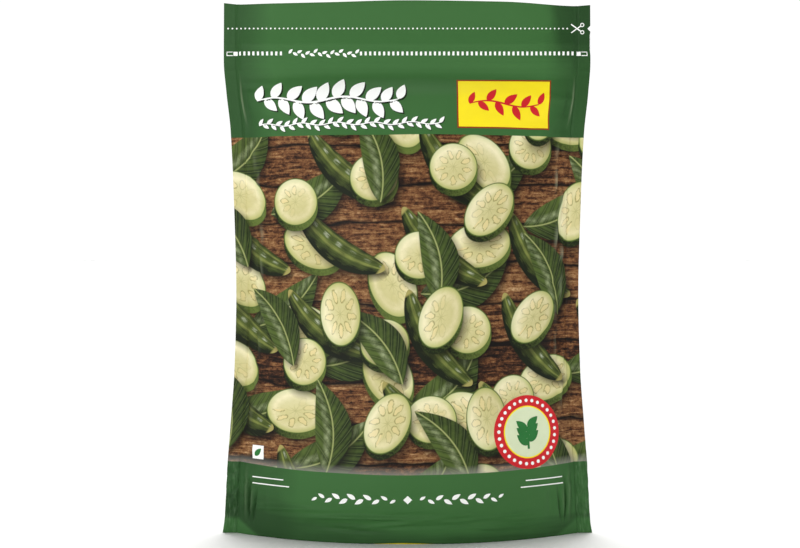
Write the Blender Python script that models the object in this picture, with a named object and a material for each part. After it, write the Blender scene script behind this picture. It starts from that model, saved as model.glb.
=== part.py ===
"""A stand-up zipper pouch filled with cut pointed gourd.

The pouch is three sheets of laminated film, heat-sealed along their edges: a front panel, a back panel and a
base gusset folded up between them. A press-to-close zip of two strips runs across it under the top seal, and
whole and halved gourds lie loose on the gusset.

Metres, +Z up. The origin is on the floor under the middle of the pouch, and the front faces -Y.
"""

import math
import random

import bmesh
import bpy
import numpy as np
from mathutils import Euler
from mathutils import Matrix
from mathutils import Vector
from mathutils.bvhtree import BVHTree

# Driving dimensions of the pouch
POUCH_HEIGHT = 0.288
SIDE_SEAL = 0.007
BASE_SEAL = 0.0065
GUSSET_HEIGHT = 0.040
GUSSET_SAG = 0.0035
FILM = 0.0004
GAP = 0.0003

# The filled pouch at each height: half its width over the seals, and how far each panel swells at its middle
WIDTHS = (
    (0.000, 0.0998),
    (0.006, 0.0991),
    (0.014, 0.0985),
    (0.040, 0.0972),
    (0.061, 0.0957),
    (0.090, 0.0938),
    (0.132, 0.0929),
    (0.176, 0.0941),
    (0.219, 0.0960),
    (0.240, 0.0985),
    (0.257, 0.1000),
    (0.288, 0.0998),
)
SWELLS = (
    (0.000, 0.0272),
    (0.0065, 0.0276),
    (0.020, 0.0298),
    (0.045, 0.0310),
    (0.080, 0.0314),
    (0.132, 0.0302),
    (0.176, 0.0268),
    (0.212, 0.0212),
    (0.236, 0.0112),
    (0.2535, 0.0),
    (0.288, 0.0),
)
SWELL_POWER = 2.2

# How the gusset folds up towards the side seals, as powers of the share across
RIDGE_POWER = 5
STEEP_POWER = 4
ROUND_AT_MIDDLE = 3.0
STRAIGHT_AT_SIDES = 1.0
TURN_AT_SIDES = 6.0

# The zip and the tear notch
ZIP_Z = 0.2606
ZIP_HALF_ROOM = 0.0016
TAPE_HEIGHT = 0.010
TAPE = 0.00035
NOTCH_Z = 0.2743
NOTCH_DEPTH = 0.0018
NOTCH_HALF = 0.0015

# Where the panels close up again above the gusset's leaves, and below and above the zip
LEAVES_END = 0.041
LEAVES_GONE = 0.046
ZIP_LOW = ZIP_Z - 0.0053
ZIP_HIGH = ZIP_Z + 0.0053
ZIP_RAMP = 0.008

# How finely the film is divided
COLUMNS = 24
OUTER_EDGE = 2.0
EVEN_SHARE = 0.65
PANEL_ROWS = (
    0.0, 0.0032, BASE_SEAL, 0.011, 0.020, 0.032, LEAVES_END, LEAVES_GONE, 0.060, 0.078, 0.096, 0.114, 0.132,
    0.154, 0.176, 0.196, 0.212, 0.225, 0.237, 0.247, 0.2535, ZIP_LOW, ZIP_HIGH, 0.2695, NOTCH_Z - NOTCH_HALF,
    NOTCH_Z, NOTCH_Z + NOTCH_HALF, 0.281, POUCH_HEIGHT,
)
SKIRT_ROWS = (0.0, 0.0032)
GUSSET_STEPS = 8

# The gourds, frozen and loose: some whole, the others trimmed at both ends and split lengthwise
GOURD_LENGTH = 0.062
GOURD_RADIUS = 0.0128
GOURD_TIP = 0.0016
GOURD_LEAN = 0.88
GOURD_FULLNESS = 0.78
WHOLE_GOURDS = 8
HALF_GOURDS = 25
SIZE_RANGE = (0.94, 1.07)
TRIM = 0.09
WHOLE_RINGS = 9
WHOLE_SIDES = 10
HALF_RINGS = 7
HALF_SIDES = 6

# How the pouch is filled: each gourd is dropped at random and shaken until it rests as low as it can
CLEARANCE = 0.0002
DROP_FROM = 0.165
DROP_SPREAD = (0.068, 0.020)
DROP_TILT = 0.5
DROP_YAW = 0.75
SHAKE_MOVE = 0.004
SHAKE_TURN = 0.2
COARSE_STEP = 0.0025
FINE_STEP = 0.0003
TRIES = 50
SHAKES = 70
SEED = 21

FILM_GREEN = (0.052, 0.158, 0.044, 1.0)
GUSSET_YELLOW = (0.62, 0.55, 0.06, 1.0)
ZIP_WHITE = (0.78, 0.80, 0.78, 1.0)
SKIN_GREEN = (0.090, 0.150, 0.035, 1.0)
FLESH_CREAM = (0.72, 0.70, 0.36, 1.0)


def clear_scene():
    """Removes whatever the scene holds."""
    for old in list(bpy.data.objects):
        bpy.data.objects.remove(old)


def material(name, colour, roughness):
    """A plain Principled finish."""
    made = bpy.data.materials.new(name)
    made.use_nodes = True
    shader = made.node_tree.nodes["Principled BSDF"]
    shader.inputs["Base Color"].default_value = colour
    shader.inputs["Roughness"].default_value = roughness
    shader.inputs["Metallic"].default_value = 0.0
    made.diffuse_color = colour
    return made


def add_object(name, points, faces, finish):
    """One closed mesh object, with its faces turned outwards."""
    mesh = bpy.data.meshes.new(name)
    mesh.from_pydata([tuple(p) for p in points], [], faces)
    shape = bmesh.new()
    shape.from_mesh(mesh)
    bmesh.ops.triangulate(shape, faces=shape.faces)
    bmesh.ops.recalc_face_normals(shape, faces=shape.faces)
    shape.to_mesh(mesh)
    shape.free()
    mesh.materials.append(finish)
    made = bpy.data.objects.new(name, mesh)
    bpy.context.scene.collection.objects.link(made)
    return made


def smooth_through(stations):
    """A smooth curve through (place, value) stations that never overshoots one of them."""
    xs = np.array([s[0] for s in stations])
    ys = np.array([s[1] for s in stations])
    steps = np.diff(xs)
    slopes = np.diff(ys) / steps
    tangents = np.zeros(len(xs))
    for i in range(1, len(xs) - 1):
        before, after = slopes[i - 1], slopes[i]
        if before * after > 0:
            weight_before = 2 * steps[i] + steps[i - 1]
            weight_after = steps[i] + 2 * steps[i - 1]
            tangents[i] = (weight_before + weight_after) / (weight_before / before + weight_after / after)
    tangents[0], tangents[-1] = slopes[0], slopes[-1]

    def value(x):
        x = np.clip(x, xs[0], xs[-1])
        i = np.clip(np.searchsorted(xs, x, side="right") - 1, 0, len(steps) - 1)
        t = (x - xs[i]) / steps[i]
        lift = ys[i] * (1 + 2 * t) * (1 - t) ** 2 + ys[i + 1] * t**2 * (3 - 2 * t)
        return lift + steps[i] * (tangents[i] * t * (1 - t) ** 2 + tangents[i + 1] * t**2 * (t - 1))

    return value


half_width = smooth_through(WIDTHS)
swell = smooth_through(SWELLS)


def inner_room(z):
    """Half the room between the two panels at their sealed edges, which the gusset and the zip push apart."""
    two_layers = GAP / 2
    four_layers = GAP / 2 + FILM + GAP
    stations = (
        (0.0, four_layers),
        (LEAVES_END, four_layers),
        (LEAVES_GONE, two_layers),
        (ZIP_LOW - ZIP_RAMP, two_layers),
        (ZIP_LOW, ZIP_HALF_ROOM),
        (ZIP_HIGH, ZIP_HALF_ROOM),
        (ZIP_HIGH + ZIP_RAMP, two_layers),
        (POUCH_HEIGHT, two_layers),
    )
    return np.interp(z, [s[0] for s in stations], [s[1] for s in stations])


def panel_inner(across, z):
    """Half the depth inside the pouch, at a share across between the side seals (-1 to 1) and a height."""
    share = np.minimum(np.abs(across), 1.0)
    return inner_room(z) + swell(z) * (1 - share**SWELL_POWER)


def column_shares():
    """Where the film's columns stand: -1 to 1 between the side seals, closer near them, and the edges."""
    inside = []
    for column in range(COLUMNS + 1):
        even = 2 * column / COLUMNS - 1
        inside.append(EVEN_SHARE * even + (1 - EVEN_SHARE) * math.sin(0.5 * math.pi * even))
    return [-OUTER_EDGE, *inside, OUTER_EDGE]


def column_x(share, z):
    """The X of a column at a height, where a share past the side seals stands for the pouch's outer edge."""
    edge = half_width(z)
    if abs(share) > 1:
        return math.copysign(edge, share)
    return share * (edge - SIDE_SEAL)


def sheet_between(name, one_side, other_side, finish):
    """A closed sheet of film between two grids of points with the same rows and columns."""
    rows, columns = len(one_side), len(one_side[0])
    points = [p for row in one_side for p in row] + [p for row in other_side for p in row]
    back = rows * columns

    def at(row, column, side):
        return row * columns + column + side * back

    faces = []
    for r in range(rows - 1):
        for c in range(columns - 1):
            faces.append((at(r, c, 0), at(r, c + 1, 0), at(r + 1, c + 1, 0), at(r + 1, c, 0)))
            faces.append((at(r, c, 1), at(r + 1, c, 1), at(r + 1, c + 1, 1), at(r, c + 1, 1)))
    for r in range(rows - 1):
        for c in (0, columns - 1):
            faces.append((at(r, c, 0), at(r + 1, c, 0), at(r + 1, c, 1), at(r, c, 1)))
    for c in range(columns - 1):
        for r in (0, rows - 1):
            faces.append((at(r, c, 0), at(r, c + 1, 0), at(r, c + 1, 1), at(r, c, 1)))
    return add_object(name, points, faces, finish)


def panel(name, facing, finish):
    """A front (facing -1) or back (facing 1) panel, with the tear notch in its right edge."""
    outside, inside = [], []
    for z in PANEL_ROWS:
        outer_row, inner_row = [], []
        for share in column_shares():
            x = column_x(share, z)
            if share > 1 and abs(z - NOTCH_Z) < NOTCH_HALF / 2:
                x -= NOTCH_DEPTH
            depth = panel_inner(share, z)
            outer_row.append((x, facing * (depth + FILM), z))
            inner_row.append((x, facing * depth, z))
        outside.append(outer_row)
        inside.append(inner_row)
    return sheet_between(name, outside, inside, finish)


def gusset_height(share, step):
    """Height of the gusset's upper face, with step 0 at the base seal's top and 1 along its middle.

    It sags at the pouch's centre, where it is round, and folds up straight into the side seals.
    """
    share = np.minimum(np.abs(share), 1.0)
    ridge = GUSSET_SAG + (GUSSET_HEIGHT - GUSSET_SAG) * share**RIDGE_POWER
    power = ROUND_AT_MIDDLE + (STRAIGHT_AT_SIDES - ROUND_AT_MIDDLE) * share**STEEP_POWER
    return BASE_SEAL + (ridge - BASE_SEAL) * (1 - (1 - step) ** power)


def gusset_turn(share):
    """The power with which the gusset's depth falls to nothing at its middle."""
    return 1 + (TURN_AT_SIDES - 1) * np.minimum(np.abs(share), 1.0) ** STEEP_POWER


def skirt_place(share, z, under):
    """Half depth and height of the gusset where it is sealed to a panel, on its upper or under face."""
    return panel_inner(share, z) - GAP - under * FILM, z


def fold_place(share, step, under):
    """Half depth and height of the gusset's fold at a step, on its upper or under face."""
    seal_depth = panel_inner(share, BASE_SEAL) - GAP - under * FILM
    return seal_depth * (1 - step ** gusset_turn(share)), gusset_height(share, step) - under * FILM


def gusset(finish):
    """The base gusset, sealed to both panels along the floor and folded up between them at the sides."""
    half = [(skirt_place, z) for z in SKIRT_ROWS]
    half += [(fold_place, step / GUSSET_STEPS) for step in range(GUSSET_STEPS + 1)]
    rows = [(-1, *row) for row in half] + [(1, *row) for row in reversed(half[:-1])]
    faces = []
    for under in (0, 1):
        face = []
        for facing, place, at in rows:
            spots = [(share, *place(share, at, under)) for share in column_shares()]
            face.append([(column_x(share, z), facing * depth, z) for share, depth, z in spots])
        faces.append(face)
    return sheet_between("base_gusset", *faces, finish)


def gusset_top(x, y):
    """Height of the gusset's upper face at a place on the floor plan."""
    share = np.clip(np.abs(x) / (half_width(GUSSET_HEIGHT / 2) - SIDE_SEAL), 0.0, 1.0)
    seal_depth = panel_inner(share, BASE_SEAL) - GAP
    step = np.clip(1 - np.abs(y) / seal_depth, 0.0, 1.0) ** (1 / gusset_turn(share))
    return gusset_height(share, step)


def strip(name, profile, finish):
    """A zip strip: a closed (y, z) profile run straight across the pouch into both side seals."""
    end = float(half_width(ZIP_Z)) - 0.0002
    count = len(profile)
    points = [(x, y, ZIP_Z + z) for x in (-end, end) for y, z in profile]
    faces = [tuple(range(count)), tuple(range(2 * count - 1, count - 1, -1))]
    for i in range(count):
        following = (i + 1) % count
        faces.append((i, i + count, following + count, following))
    return add_object(name, points, faces, finish)


def rib_profile():
    """The front strip: a tape with an arrow-headed rib."""
    seat = -ZIP_HALF_ROOM + GAP
    face = seat + TAPE
    half = TAPE_HEIGHT / 2
    stem, head, tip = 0.00025, 0.0006, 0.0002
    neck, nose = -0.0001, 0.0006
    return [
        (seat, -half), (face, -half), (face, -stem), (neck, -stem), (neck, -head), (nose, -tip),
        (nose, tip), (neck, head), (neck, stem), (face, stem), (face, half), (seat, half),
    ]


def groove_profile():
    """The back strip: a tape with two hooked jaws that the rib snaps between."""
    seat = ZIP_HALF_ROOM - GAP
    face = seat - TAPE
    half = TAPE_HEIGHT / 2
    outer, inner, hook = 0.0014, 0.00095, 0.00058
    mouth, lip = -0.00065, -0.0004
    return [
        (seat, half), (face, half), (face, outer), (mouth, outer), (mouth, hook), (lip, hook), (lip, inner),
        (face, inner), (face, -inner), (lip, -inner), (lip, -hook), (mouth, -hook), (mouth, -outer),
        (face, -outer), (face, -half), (seat, -half),
    ]


def gourd_radius(place, radius):
    """Radius of a gourd along its length: fullest just before the middle, drawn out to points at the ends."""
    return GOURD_TIP + (radius - GOURD_TIP) * math.sin(math.pi * place**GOURD_LEAN) ** GOURD_FULLNESS


def rings_to_solid(rings):
    """Points and faces of a closed solid through rings of points, flat on the first and the last."""
    around = len(rings[0])
    points = [point for ring in rings for point in ring]
    faces = [tuple(range(around - 1, -1, -1)), tuple(range(len(points) - around, len(points)))]
    for first in range(0, len(points) - around, around):
        for step in range(around):
            here, after = first + step, first + (step + 1) % around
            faces.append((here, after, after + around, here + around))
    return points, faces


def whole_gourd(length, radius):
    """A whole gourd lying along X."""
    rings = []
    for ring in range(WHOLE_RINGS):
        place = 0.5 - 0.5 * math.cos(math.pi * ring / (WHOLE_RINGS - 1))
        r = gourd_radius(place, radius)
        turns = [2 * math.pi * side / WHOLE_SIDES for side in range(WHOLE_SIDES)]
        rings.append([(length * (place - 0.5), r * math.cos(turn), r * math.sin(turn)) for turn in turns])
    return rings_to_solid(rings)


def half_gourd(length, radius):
    """A gourd trimmed at both ends and split lengthwise, lying along X with its cut face down on Z = 0."""
    rings = []
    for ring in range(HALF_RINGS):
        place = TRIM + (1 - 2 * TRIM) * ring / (HALF_RINGS - 1)
        r = gourd_radius(place, radius)
        turns = [math.pi * side / HALF_SIDES for side in range(HALF_SIDES + 1)]
        rings.append([(length * (place - 0.5), r * math.cos(turn), r * math.sin(turn)) for turn in turns])
    return rings_to_solid(rings)


class Pile:
    """The gourds already in the pouch, and the search for where the next one comes to rest."""

    def __init__(self):
        self.placed = []
        self.draw = random.Random(SEED)

    def clear_of_film(self, points):
        """Whether a gourd's points all lie inside the panels and above the gusset."""
        x, y, z = points[:, 0], points[:, 1], points[:, 2]
        room = half_width(z) - SIDE_SEAL
        if np.any(np.abs(x) > room - CLEARANCE):
            return False
        if np.any(np.abs(y) > panel_inner(x / room, z) - 2 * CLEARANCE):
            return False
        return not np.any(z < gusset_top(x, y) + 2 * CLEARANCE)

    def clear_of_others(self, points, faces):
        """Whether a gourd misses every one that is already in."""
        low, high = points.min(axis=0), points.max(axis=0)
        near = [
            tree for tree, others_low, others_high in self.placed
            if np.all(low < others_high) and np.all(high > others_low)
        ]
        if not near:
            return True
        tree = BVHTree.FromPolygons([Vector(p) for p in points], faces)
        return not any(tree.overlap(other) for other in near)

    def rest_height(self, turned, faces, place, start):
        """The height that a turned gourd comes down to, or None where it doesn't fit at the start."""

        def fits(height):
            moved = turned + np.array((*place, height))
            return self.clear_of_film(moved) and self.clear_of_others(moved, faces)

        height = start
        if not fits(height):
            return None
        for step in (COARSE_STEP, FINE_STEP):
            while fits(height - step):
                height -= step
        return height

    def drop(self):
        """A random place to drop a gourd at, and how it is turned."""
        place = tuple(self.draw.uniform(-spread, spread) for spread in DROP_SPREAD)
        roll = self.draw.uniform(0, 2 * math.pi)
        tilt = self.draw.uniform(-DROP_TILT, DROP_TILT)
        return place, Euler((roll, tilt, self.draw.uniform(-DROP_YAW, DROP_YAW)))

    def shake(self, place, turn):
        """A place and a turn a little off the given ones."""
        moved = tuple(at + self.draw.uniform(-SHAKE_MOVE, SHAKE_MOVE) for at in place)
        return moved, Euler(tuple(angle + self.draw.uniform(-SHAKE_TURN, SHAKE_TURN) for angle in turn))

    def add(self, name, shape, finish):
        """Puts a gourd in where it comes to rest lowest."""
        points, faces = np.array(shape[0]), shape[1]
        middle = (points.min(axis=0) + points.max(axis=0)) / 2
        grown = middle + (points - middle) * (1 + 2 * CLEARANCE / np.ptp(points, axis=0))
        height, place, turn = None, None, None
        for attempt in range(TRIES + SHAKES):
            if attempt < TRIES or height is None:
                new_place, new_turn = self.drop()
                start = DROP_FROM
            else:
                new_place, new_turn = self.shake(place, turn)
                start = height + 2 * COARSE_STEP
            turned = grown @ np.array(new_turn.to_matrix()).T
            rest = self.rest_height(turned, faces, new_place, start)
            if rest is not None and (height is None or rest < height):
                height, place, turn = rest, new_place, new_turn
        rest = grown @ np.array(turn.to_matrix()).T + np.array((*place, height))
        tree = BVHTree.FromPolygons([Vector(p) for p in rest], faces)
        self.placed.append((tree, rest.min(axis=0), rest.max(axis=0)))
        made = add_object(name, points, faces, finish)
        made.matrix_world = Matrix.Translation((*place, height)) @ turn.to_matrix().to_4x4()


def fill(whole_finish, half_finish):
    """Puts the gourds in, whole and halved ones in turn, each a little different in size."""
    pile = Pile()
    sizes = random.Random(SEED + 1)
    total = WHOLE_GOURDS + HALF_GOURDS
    wholes, halves = 0, 0
    for piece in range(total):
        scale = sizes.uniform(*SIZE_RANGE)
        length, radius = GOURD_LENGTH * scale, GOURD_RADIUS * (2 - scale)
        if wholes * total < piece * WHOLE_GOURDS:
            wholes += 1
            pile.add(f"gourd_whole_{wholes:02d}", whole_gourd(length, radius), whole_finish)
        else:
            halves += 1
            pile.add(f"gourd_half_{halves:02d}", half_gourd(length, radius), half_finish)


def main():
    """Builds the pouch, its zip and what it holds."""
    clear_scene()
    printed = material("printed_film", FILM_GREEN, 0.35)
    base = material("gusset_film", GUSSET_YELLOW, 0.35)
    plastic = material("zip_plastic", ZIP_WHITE, 0.45)
    panel("front_panel", -1, printed)
    panel("back_panel", 1, printed)
    gusset(base)
    strip("zip_rib_strip", rib_profile(), plastic)
    strip("zip_groove_strip", groove_profile(), plastic)
    fill(material("gourd_skin", SKIN_GREEN, 0.5), material("gourd_flesh", FLESH_CREAM, 0.6))


if __name__ == "__main__":
    main()
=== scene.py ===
"""Looks of the stand-up zipper pouch: its films, zip, print and gourds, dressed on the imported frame.

Solid shapes are in metres. The print is laid out flat, in film millimetres: u runs along the film from the
pouch's middle line, to the right of whoever looks at that side, and v is the height above the floor. Every
printed mark is then wrapped onto the film.
"""

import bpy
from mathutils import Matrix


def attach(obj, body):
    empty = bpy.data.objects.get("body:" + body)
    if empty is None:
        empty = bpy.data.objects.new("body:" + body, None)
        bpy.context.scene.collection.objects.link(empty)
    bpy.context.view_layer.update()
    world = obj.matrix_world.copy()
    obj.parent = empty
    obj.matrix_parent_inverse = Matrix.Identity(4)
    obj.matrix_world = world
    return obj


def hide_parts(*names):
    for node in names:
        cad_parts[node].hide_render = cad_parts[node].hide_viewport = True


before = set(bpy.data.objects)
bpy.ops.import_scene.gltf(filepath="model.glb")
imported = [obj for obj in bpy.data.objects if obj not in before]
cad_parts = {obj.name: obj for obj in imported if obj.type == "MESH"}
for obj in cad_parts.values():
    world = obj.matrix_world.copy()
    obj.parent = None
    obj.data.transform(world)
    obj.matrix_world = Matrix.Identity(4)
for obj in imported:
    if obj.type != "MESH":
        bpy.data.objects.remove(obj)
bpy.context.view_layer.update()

import ast
import logging
import math
import random
from collections.abc import Iterable
from dataclasses import dataclass, field
from enum import Enum

import bmesh
import bpy
import numpy as np
from bpy.types import Material, Mesh, Node, NodeSocket, NodeTree, Object
from mathutils import Vector

log = logging.getLogger("pouch")

Array = np.ndarray
Point = tuple[float, float]
Stations = tuple[Point, ...]
Pieces = Iterable[Object]

# What a node's input may be given: a socket, a node for its first output, a number, a colour, a vector, or
# text for a bench to read
Value = NodeSocket | Node | float | str | tuple

MM = 0.001
TURN = 2 * math.pi
BODY = "root"

# Height in film millimetres of the three-cornered seals at both ends of the base
SEAL_CORNER = 9.8

# How steeply those seals' slanting edges fall towards the middle
SEAL_SLANT = 0.62

# One unit of the film's UV map is this many film millimetres, and the pouch's middle line is at 0.5
FILM_SPAN = 300.0
FILM_MAP = "film"

# Point attributes: 1 on a film's inner face, and how far the fold ridges have whitened the film, partly as
# stress whitening and partly as a painted highlight, from 0 to 1
INSIDE = "inside"
WHITENING_HIGHLIGHT = "clouded"


def linear(colour: str) -> tuple[float, float, float, float]:
    """Turns an sRGB hex colour to linear red, green, blue and alpha.

    Args:
        colour: the colour, such as "#416F3D".

    Returns:
        The linear colour, with an alpha of 1.
    """
    values = [int(colour[i:i + 2], 16) / 255 for i in (1, 3, 5)]
    return (*(v / 12.92 if v <= 0.04045 else ((v + 0.055) / 1.055) ** 2.4 for v in values), 1.0)


def through(stations: Stations, x: Array | float) -> Array:
    """Reads a smooth curve through stations, which never overshoots one of them.

    Args:
        stations: (place, value) pairs in rising order of place.
        x: the places to read.

    Returns:
        The curve's values there.
    """
    xs, ys = np.array([s[0] for s in stations]), np.array([s[1] for s in stations])
    steps = np.diff(xs)
    slopes = np.diff(ys) / steps
    tangents = np.zeros(len(xs))
    for i in range(1, len(xs) - 1):
        before, after = slopes[i - 1], slopes[i]
        if before * after > 0:
            first, second = 2 * steps[i] + steps[i - 1], steps[i] + 2 * steps[i - 1]
            tangents[i] = (first + second) / (first / before + second / after)
    tangents[0], tangents[-1] = slopes[0], slopes[-1]
    x = np.clip(x, xs[0], xs[-1])
    i = np.clip(np.searchsorted(xs, x, side="right") - 1, 0, len(steps) - 1)
    t = (x - xs[i]) / steps[i]
    level = ys[i] * (1 + 2 * t) * (1 - t) ** 2 + ys[i + 1] * t**2 * (3 - 2 * t)
    return level + steps[i] * (tangents[i] * t * (1 - t) ** 2 + tangents[i + 1] * t**2 * (t - 1))


def ease(x: Array, low: float, high: float) -> Array:
    """Rises smoothly from 0 where x is at low to 1 where it is at high."""
    t = np.clip((x - low) / (high - low), 0.0, 1.0)
    return t * t * (3 - 2 * t)


class Side(Enum):
    """Which way a panel faces along Y."""

    FRONT = -1
    BACK = 1


class Motif(Enum):
    """What a layer of the printed pattern scatters."""

    LEAF = "leaf"
    SLICE = "slice"
    POD = "pod"


class Bench:
    """Lays out the nodes of one tree.

    A text among a node's inputs is a colour such as "#416F3D", or else a formula over names that the bench
    knows. A tuple with texts in it is a vector.
    """

    OPERATORS = {
        ast.Add: "ADD", ast.Sub: "SUBTRACT", ast.Mult: "MULTIPLY", ast.Div: "DIVIDE", ast.Pow: "POWER",
    }
    FUNCTIONS = {
        "sin": "SINE", "cos": "COSINE", "sqrt": "SQRT", "abs": "ABSOLUTE", "min": "MINIMUM", "max": "MAXIMUM",
        "floor": "FLOOR", "fract": "FRACT", "less": "LESS_THAN", "atan2": "ARCTAN2", "clamp": "ADD",
    }

    def __init__(self, tree: NodeTree, **names: Value) -> None:
        self.tree = tree
        self.names = names

    def knowing(self, **names: Value) -> "Bench":
        """Gives a bench on the same tree that knows more names. A text stands for its formula's value."""
        more = {name: self.formula(v) if isinstance(v, str) else v for name, v in names.items()}
        return Bench(self.tree, **{**self.names, **more})

    def feed(self, node: Node, inputs: dict | tuple) -> None:
        """Links or sets a node's inputs.

        Args:
            node: the node.
            inputs: what each input is given, in order or by the input's name or number.
        """
        for slot, value in inputs.items() if isinstance(inputs, dict) else enumerate(inputs):
            socket = node.inputs[slot]
            if isinstance(value, str) and socket.type != "STRING":
                value = linear(value) if value.startswith("#") else self.formula(value)
            if isinstance(value, tuple) and any(isinstance(part, str) for part in value):
                value = self.add("ShaderNodeCombineXYZ", value)
            if isinstance(value, Node):
                value = value.outputs[0]
            if isinstance(value, NodeSocket):
                self.tree.links.new(value, socket)
            else:
                socket.default_value = value

    def add(self, kind: str, inputs: dict | tuple = (), **settings: object) -> Node:
        """Adds a node with its settings and links.

        Args:
            kind: the node's type name.
            inputs: what its inputs are given, as for feed.
            settings: the node's own properties.

        Returns:
            The new node.
        """
        node = self.tree.nodes.new(kind)
        for name, value in settings.items():
            setattr(node, name, value)
        self.feed(node, inputs)
        return node

    def formula(self, text: str, **names: Value) -> NodeSocket:
        """Lays out an arithmetic formula as Math nodes.

        Args:
            text: the formula, written with + - * / ** and the functions named above.
            names: what the names in it stand for, beside those that the bench knows.

        Returns:
            The socket that holds the formula's value.
        """
        return self.wire(ast.parse(text).body[0].value, {**self.names, **names})

    def wire(self, part: ast.expr, names: dict[str, Value]) -> Value:
        """Lays out one part of a formula.

        Args:
            part: the parsed part.
            names: what each name stands for.

        Returns:
            The socket or the number that holds the part's value.
        """
        if isinstance(part, ast.Constant):
            return float(part.value)
        if isinstance(part, ast.Name):
            return names[part.id]
        if isinstance(part, ast.UnaryOp):
            operation, parts = "MULTIPLY", [ast.Constant(-1), part.operand]
        elif isinstance(part, ast.BinOp):
            operation, parts = self.OPERATORS[type(part.op)], [part.left, part.right]
        else:
            operation, parts = self.FUNCTIONS[part.func.id], part.args
        wired = tuple(self.wire(p, names) for p in parts)
        clamped = isinstance(part, ast.Call) and part.func.id == "clamp"
        if clamped:
            wired += (0.0,)
        return self.add("ShaderNodeMath", wired, operation=operation, use_clamp=clamped).outputs[0]

    def stack(self, ground: Value, *layers: tuple[Value, Value]) -> NodeSocket:
        """Paints layers over a ground colour.

        Args:
            ground: the colour underneath.
            layers: (mask, colour) pairs, each laid over those before it.

        Returns:
            The socket that holds the painted colour.
        """
        for mask, colour in layers:
            ground = self.add("ShaderNodeMix", {0: mask, 6: ground, 7: colour}, data_type="RGBA").outputs[2]
        return ground


def new_material(name: str) -> tuple[Material, Bench, Node]:
    """Makes a material with a Principled shader.

    Args:
        name: the finish's name.

    Returns:
        The material, a bench on its nodes and its shader.
    """
    material = bpy.data.materials.new(name)
    material.use_nodes = True
    shader = material.node_tree.nodes["Principled BSDF"]
    return material, Bench(material.node_tree), shader


@dataclass(frozen=True)
class PouchShape:
    """The filled pouch's sizes in metres, as in the CAD model, with the bends that its film takes."""

    height: float = 0.288
    side_seal: float = 0.007
    base_seal: float = 0.0065
    gusset_height: float = 0.040
    gusset_sag: float = 0.0035
    film: float = 0.0004
    gap: float = 0.0003
    swell_power: float = 2.2
    zip_z: float = 0.2606
    zip_half_room: float = 0.0016
    zip_end: float = 0.965
    lift: float = 0.16
    notch_z: float = 0.2743
    notch_depth: float = 0.0016
    notch_half: float = 0.0016
    widths: Stations = (
        (0.000, 0.1001), (0.006, 0.0998), (0.014, 0.0993), (0.040, 0.0979), (0.061, 0.0963), (0.090, 0.0942),
        (0.132, 0.0931), (0.176, 0.0941), (0.219, 0.0960), (0.240, 0.0985), (0.257, 0.1000), (0.288, 0.0998),
    )
    swells: Stations = (
        (0.000, 0.0272), (0.0065, 0.0276), (0.020, 0.0298), (0.045, 0.0310), (0.080, 0.0314), (0.132, 0.0302),
        (0.176, 0.0268), (0.212, 0.0212), (0.236, 0.0112), (0.2535, 0.0), (0.288, 0.0),
    )
    top_wave: Stations = (
        (-0.100, 0.0007), (-0.090, -0.0003), (-0.045, 0.0005), (0.000, 0.0016), (0.050, 0.0009),
        (0.090, -0.0008), (0.100, 0.0000),
    )

    def half_width(self, z: Array) -> Array:
        """Half the pouch's width over its side seals."""
        return through(self.widths, z)

    def room(self, z: Array) -> Array:
        """Half the room between the panels at their seals, which the gusset and the zip push apart.

        Args:
            z: height, in metres.

        Returns:
            Half the room, in metres.
        """
        two, four = self.gap / 2, self.gap / 2 + self.film + self.gap
        low, high, ramp = self.zip_z - 0.0053, self.zip_z + 0.0053, 0.008
        places = (0.0, 0.041, 0.046, low - ramp, low, high, high + ramp, self.height)
        return np.interp(z, places, (four, four, two, two, self.zip_half_room, self.zip_half_room, two, two))

    def inner(self, share: Array, z: Array) -> Array:
        """Half the depth inside the pouch at a share across, from -1 to 1. The seals press the zip flat.

        Args:
            share: the share across.
            z: height, in metres.

        Returns:
            Half the depth, in metres.
        """
        inside = np.minimum(np.abs(share), 1.0)
        pressed = self.room(z) - self.gap / 2
        pressed = pressed * np.where(z > self.height / 2, 1 - ease(inside, self.zip_end, 0.995), 1.0)
        return pressed + self.gap / 2 + through(self.swells, z) * (1 - inside**self.swell_power)

    def bend(self, x: Array, z: Array) -> Array:
        """How far back all the films bend together: at the empty top's ends and the crumpled lower seals."""
        return self.lean(x, z) + self.crumple(x, z)

    def lean(self, x: Array, z: Array) -> Array:
        """How far back the two ends of the empty top lean."""
        right = 0.0052 * ease(x, 0.058, 0.104) * ease(z, 0.222, 0.262)
        left = 0.0034 * ease(-x, 0.070, 0.104) * ease(z, 0.205, 0.262)
        return right + left

    def rise(self, x: Array, z: Array) -> Array:
        """How far the leaning ends stand up under the top seal, to keep the zip and the tear line level."""
        return self.lift * self.lean(x, z) * (1 - ease(z, 0.277, self.height))

    def crumple(self, x: Array, z: Array) -> Array:
        """The small sharp folds across the lower ends of the side seals.

        Args:
            x: place across, in metres.
            z: height, in metres.

        Returns:
            How far back they push the films, in metres.
        """
        away, total = np.abs(x), np.zeros_like(x)
        for wave, turn, height in ((0.0170, 1.0, 0.00045), (0.0112, 2.3, 0.00034), (0.0074, 0.5, 0.00020)):
            swing = np.sin(TURN * (away * math.cos(turn) + z * math.sin(turn)) / wave + np.sign(x))
            total += height * (1 - 2 * np.abs(swing) ** 0.7)
        into = away - (self.half_width(z) - self.side_seal)
        return total * ease(into, -0.0005, 0.0025) * ease(-z, -0.066, -0.030) * ease(z, 0.0, 0.006)


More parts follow.
